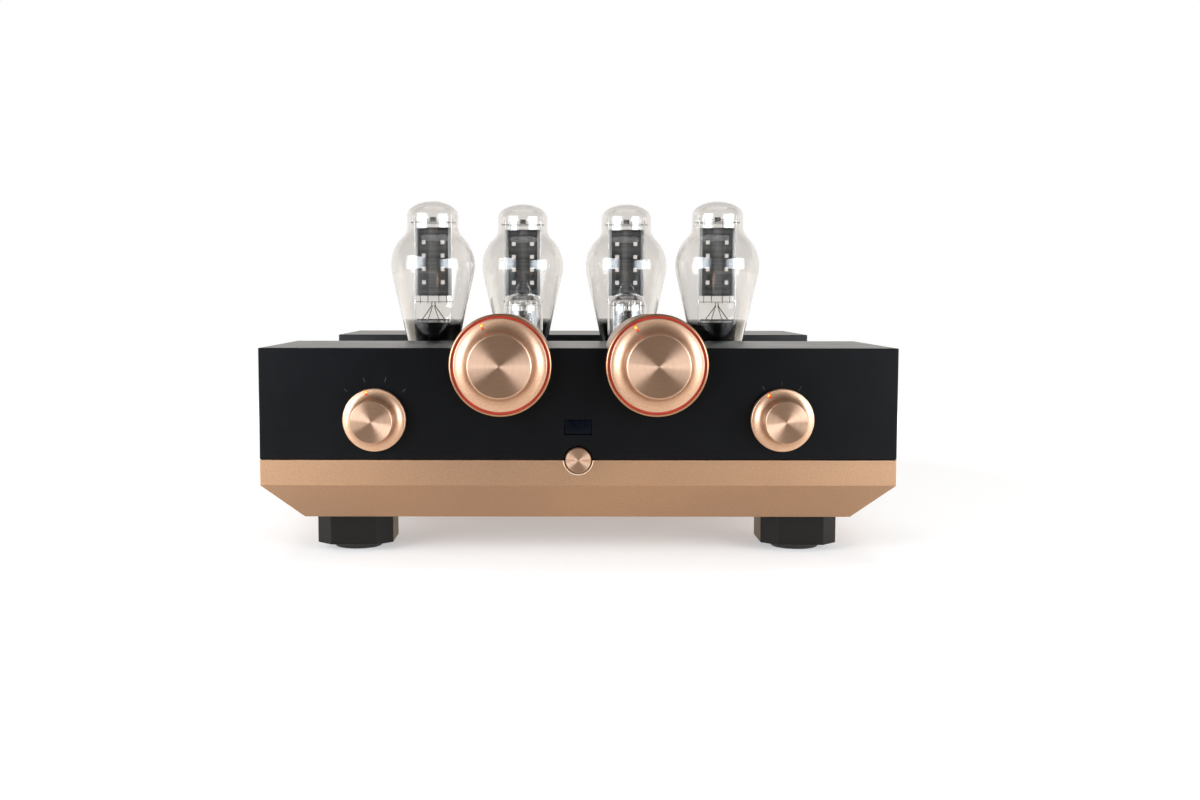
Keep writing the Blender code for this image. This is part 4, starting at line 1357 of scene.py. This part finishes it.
def softbox(name, azimuth, size, brightness, lift):
    # a diffuser lit from behind: crisp above and below, falling off to its sides
    wide, tall = size
    a = math.radians(azimuth)
    place = around + Vector((math.sin(a), -math.cos(a), 0)) * studio["boxDistance"] + Vector((0, 0, lift))
    made = sheetBetween(name, (-wide / 2, -tall / 2), (wide / 2, tall / 2))
    made.location = place
    made.rotation_euler = (around - place).to_track_quat("Z", "Y").to_euler()
    made.visible_camera = False
    lit, tree, shader = startMaterial(name, color=black, specular=0.0)
    x = mathNode(tree, "ABSOLUTE", objectAxis(tree, "X"))
    y = mathNode(tree, "ABSOLUTE", objectAxis(tree, "Y"))
    across = remap(tree, x, brightness, 0.0, wide * 0.24, wide * 0.5)
    upDown = remap(tree, y, 1.0, 0.0, tall * 0.44, tall * 0.5)
    feed(tree, shader, "Emission Color", studio["boxTone"])
    feed(tree, shader, "Emission Strength", times(tree, across, upDown))
    made.data.materials.append(lit)
    return made


for name, side in (("softboxLeft", -1), ("softboxRight", 1)):
    softbox(name, side * studio["boxAzimuth"], studio["boxSize"], studio["boxPower"], -side * studio["boxLift"])
lampData = bpy.data.lights.new("topLight", "AREA")
lampData.shape = "RECTANGLE"
lampData.size, lampData.size_y = studio["topSize"]
lampData.energy = studio["topPower"]
topLight = addObject("topLight", lampData)
topLight.location = (0, panelFace + 0.35, 1.9)
topLight.visible_glossy = False

world = bpy.data.worlds.new("studio")
bpy.context.scene.world = world
world.use_nodes = True
tree = world.node_tree
background = tree.nodes["Background"]
direction = addNode(tree, "SeparateXYZ", {"Vector": addNode(tree, "TexCoord").outputs["Generated"]})
behind, up = direction.outputs["Y"], direction.outputs["Z"]
fromBehind = remap(tree, behind, studio["aheadGlow"], studio["behindGlow"], -0.25, 0.55)
overhead = remap(tree, up, 1.0, studio["overheadGlow"], 0.25, 0.8)
ceiling = remap(tree, up, 0.0, studio["ceilingGlow"], 0.45, 0.75)
ceiling = times(tree, ceiling, remap(tree, up, 1.0, studio["zenith"], 0.80, 0.97))
glow = mathNode(tree, "MAXIMUM", times(tree, fromBehind, overhead), ceiling)
seen = addNode(tree, "LightPath").outputs["Is Camera Ray"]
levels = {"Factor": seen, "A": glow, "B": studio["background"]}
feed(tree, background, "Strength", addNode(tree, "Mix", levels, data_type="FLOAT").outputs[0])
feed(tree, background, "Color", mixedColor(tree, seen, studio["warmth"], white))

# white paper floor that runs out into the white background
floor = sheetBetween("floor", (-8, -6), (8, 12))
paper, tree, shader = startMaterial("floorPaper", roughness=0.9, specular=0.0)
far = measured(tree, objectPoint(tree))
depth = objectAxis(tree, "Y")
faded = mathNode(tree, "MAXIMUM", remap(tree, far, 0.0, 1.0, *studio["paperFade"]),
                 remap(tree, depth, 1.0, 0.0, *studio["paperEnd"]))
feed(tree, shader, "Base Color", mixedColor(tree, faded, studio["floorWhite"], black))
shown = remap(tree, far, studio["floorShade"], 1.0, *studio["floorBlend"])
mirrored = times(tree, shown, remap(tree, depth, studio["floorAhead"], 1.0, -1.4, -0.30))
seen = addNode(tree, "LightPath").outputs["Is Camera Ray"]
levels = {"Factor": seen, "A": mirrored, "B": shown}
feed(tree, shader, "Emission Strength", addNode(tree, "Mix", levels, data_type="FLOAT").outputs[0])
nearness = remap(tree, depth, 0.0, 1.0, 0.0, 0.6)
bounce = mixedColor(tree, nearness, studio["bounce"], studio["warmth"])
feed(tree, shader, "Emission Color", mixedColor(tree, seen, bounce, white))
floor.data.materials.append(paper)

view = {
    "place": (-0.01427, panelFace - 0.8785, 0.17685), "pitch": 0.079, "roll": -0.001,
    "lens": 40.63, "shift": 0.03625,
}
cameraData = bpy.data.cameras.new("camera")
camera = addObject("camera", cameraData)
camera.location = view["place"]
camera.rotation_euler = (math.pi / 2 - view["pitch"], view["roll"], 0)
cameraData.lens = view["lens"]
cameraData.sensor_width = 36.0
cameraData.shift_x = view["shift"]
bpy.context.scene.camera = camera
bpy.context.scene.view_settings.view_transform = "Standard"
print("studio done")
